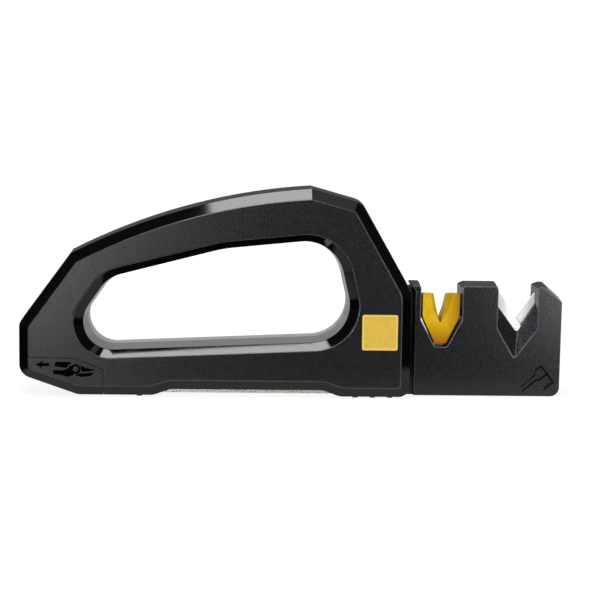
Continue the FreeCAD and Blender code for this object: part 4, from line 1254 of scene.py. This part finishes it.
@dataclass
class Studio:
    """A white studio: pale floor, soft lamps and a world that is dark only in front of the object.

    The flanks mirror the overhead lamps and the table, the flat sides catch the two lamps in front.
    """

    room_front: float = 0.26
    room_behind: float = 0.6
    room_turn: Span = (-0.4, 0.4)
    behind: float = 0.6
    front_dark: float = 0.03
    mirror_turn: Span = (-0.05, 0.25)
    floor_radius: float = 1.6
    floor_segments: int = 96
    floor_colour: Colour = (0.82, 0.82, 0.82)
    shadow_share: Colour = (0.2, 0.2, 0.2)
    floor_glow: float = 0.88
    shadow_reach: float = 0.12
    shadow_fade: float = 0.5
    table_edge: float = -0.035
    table_end: float = 0.13
    table_back: float = 0.05
    table_fade: float = 0.015
    table_glow: float = 0.5
    lamps: list[Lamp] = field(default_factory=lambda: [
        Lamp("overhead_box", (-0.065, -0.185, 0.5), (-0.065, -0.135, -0.5), 0.18, 0.14, 0.75),
        Lamp("overhead_strip", (-0.085, -0.048, 0.5), (-0.085, -0.048, -0.5), 0.23, 0.104, 0.7),
        Lamp("dim_panel", (0.186, -0.132, 0.5), (0.186, -0.132, -0.5), 0.12, 0.1, 0.024),
        Lamp("left_front_box", (-0.266, -0.56, 0.095), (-0.08, 0.0, 0.04), 0.08, 0.19, 1.45),
        Lamp("right_front_box", (0.208, -0.205, 0.065), (0.1, 0.0, 0.03), 0.14, 0.15, 0.3),
    ])

    def world(self) -> None:
        """Light the room evenly, white to the camera and, behind the object, to reflections."""
        world = bpy.data.worlds.new("studio")
        world.use_nodes = True
        bpy.context.scene.world = world
        graph = Graph(world.node_tree)
        ray = graph.node("LightPath").outputs
        way = graph.part(graph.node("TexCoord").outputs["Generated"], "Y")
        backdrop = graph.span(way, *self.mirror_turn, self.front_dark, self.behind)
        mirrored = graph.math("MULTIPLY", ray["Is Glossy Ray"], backdrop)
        seen = graph.math("MAXIMUM", ray["Is Camera Ray"], ray["Is Transmission Ray"])
        plain = graph.math("SUBTRACT", 1.0, graph.math("MAXIMUM", seen, ray["Is Glossy Ray"]))
        room = graph.span(way, *self.room_turn, self.room_front, self.room_behind)
        soft = graph.math("MULTIPLY", plain, room)
        glow = graph.node("Background")
        graph.feed(glow.inputs["Color"], (1.0, 1.0, 1.0))
        graph.feed(glow.inputs["Strength"], graph.math("ADD", graph.math("MAXIMUM", seen, mirrored), soft))
        graph.feed(graph.node("OutputWorld").inputs["Surface"], glow.outputs[0])

    def table_light(self, graph: Graph, place: Socket) -> Socket:
        """How bright the table is that reflections see: it ends in front and at both ends, not behind.

        Args:
            graph: the floor's node tree.
            place: the floor's coordinates.

        Returns:
            The brightness's socket.
        """
        along = graph.math("ABSOLUTE", graph.part(place, "X"))
        across = graph.part(place, "Y")
        front = graph.span(across, self.table_edge - self.table_fade, self.table_edge)
        end = graph.span(along, self.table_end - self.table_fade, self.table_end, self.table_glow, 0.0)
        back_end = self.table_back + self.table_fade
        back = graph.span(across, self.table_back, back_end, 0.0, self.table_glow)
        return graph.math("MULTIPLY", front, graph.math("MAXIMUM", end, back))

    def floor_material(self) -> bpy.types.Material:
        """White to the camera with a light shadow, and to reflections a table that ends in front.

        Returns:
            The new material.
        """
        material = bpy.data.materials.new("studio_floor")
        material.use_nodes = True
        graph = Graph(material.node_tree)
        ray = graph.node("LightPath").outputs
        place = graph.node("TexCoord").outputs["Object"]
        far = graph.node("VectorMath", operation="LENGTH")
        graph.feed(far.inputs[0], place)
        matt = graph.node("BsdfDiffuse")
        graph.feed(matt.inputs["Color"], self.floor_colour)
        shadow = graph.node("BsdfDiffuse")
        graph.feed(shadow.inputs["Color"], self.shadow_share)
        white = graph.node("Emission")
        fade = graph.span(far.outputs["Value"], self.shadow_reach, self.shadow_fade, self.floor_glow, 1.0)
        graph.feed(white.inputs["Strength"], fade)
        table = graph.node("Emission")
        graph.feed(table.inputs["Strength"], self.table_light(graph, place))
        shown = graph.node("AddShader")
        graph.feed(shown.inputs[0], shadow.outputs[0])
        graph.feed(shown.inputs[1], white.outputs[0])
        lit = self.pick(graph, ray["Is Camera Ray"], matt.outputs[0], shown.outputs[0])
        both = self.pick(graph, ray["Is Glossy Ray"], lit, table.outputs[0])
        graph.feed(graph.node("OutputMaterial").inputs["Surface"], both)
        return material

    def pick(self, graph: Graph, choice: Socket, first: Socket, second: Socket) -> Socket:
        """Choose between two shaders.

        Args:
            graph: the tree that they are in.
            choice: 0 for the first, 1 for the second.
            first: the first shader's socket.
            second: the second shader's socket.

        Returns:
            The chosen shader's socket.
        """
        node = graph.node("MixShader")
        for socket, source in zip(node.inputs, (choice, first, second)):
            graph.feed(socket, source)
        return node.outputs[0]

    def floor(self) -> None:
        """Lay the floor."""
        shape = bmesh.new()
        bmesh.ops.create_circle(
            shape, cap_ends=True, segments=self.floor_segments, radius=self.floor_radius,
        )
        new_piece("studio_floor", shape, [self.floor_material()])

    def build(self) -> None:
        """Set the whole studio up."""
        bpy.context.scene.view_settings.view_transform = "Standard"
        self.world()
        self.floor()
        for lamp in self.lamps:
            lamp.build()
        PhotoCamera().build()
        log.info("set up the studio")


def main() -> None:
    """Build every sub-assembly and the studio round them."""
    logging.basicConfig(level=logging.INFO)
    finishes = Finishes()
    for assembly in (HandleShells, SharpenerBase, PrunerTool, SharpenerHead, KnifeRocker):
        assembly(finishes).build()
        log.info("finished %s", assembly.__name__)
    Studio().build()


if __name__ == "__main__":
    main()
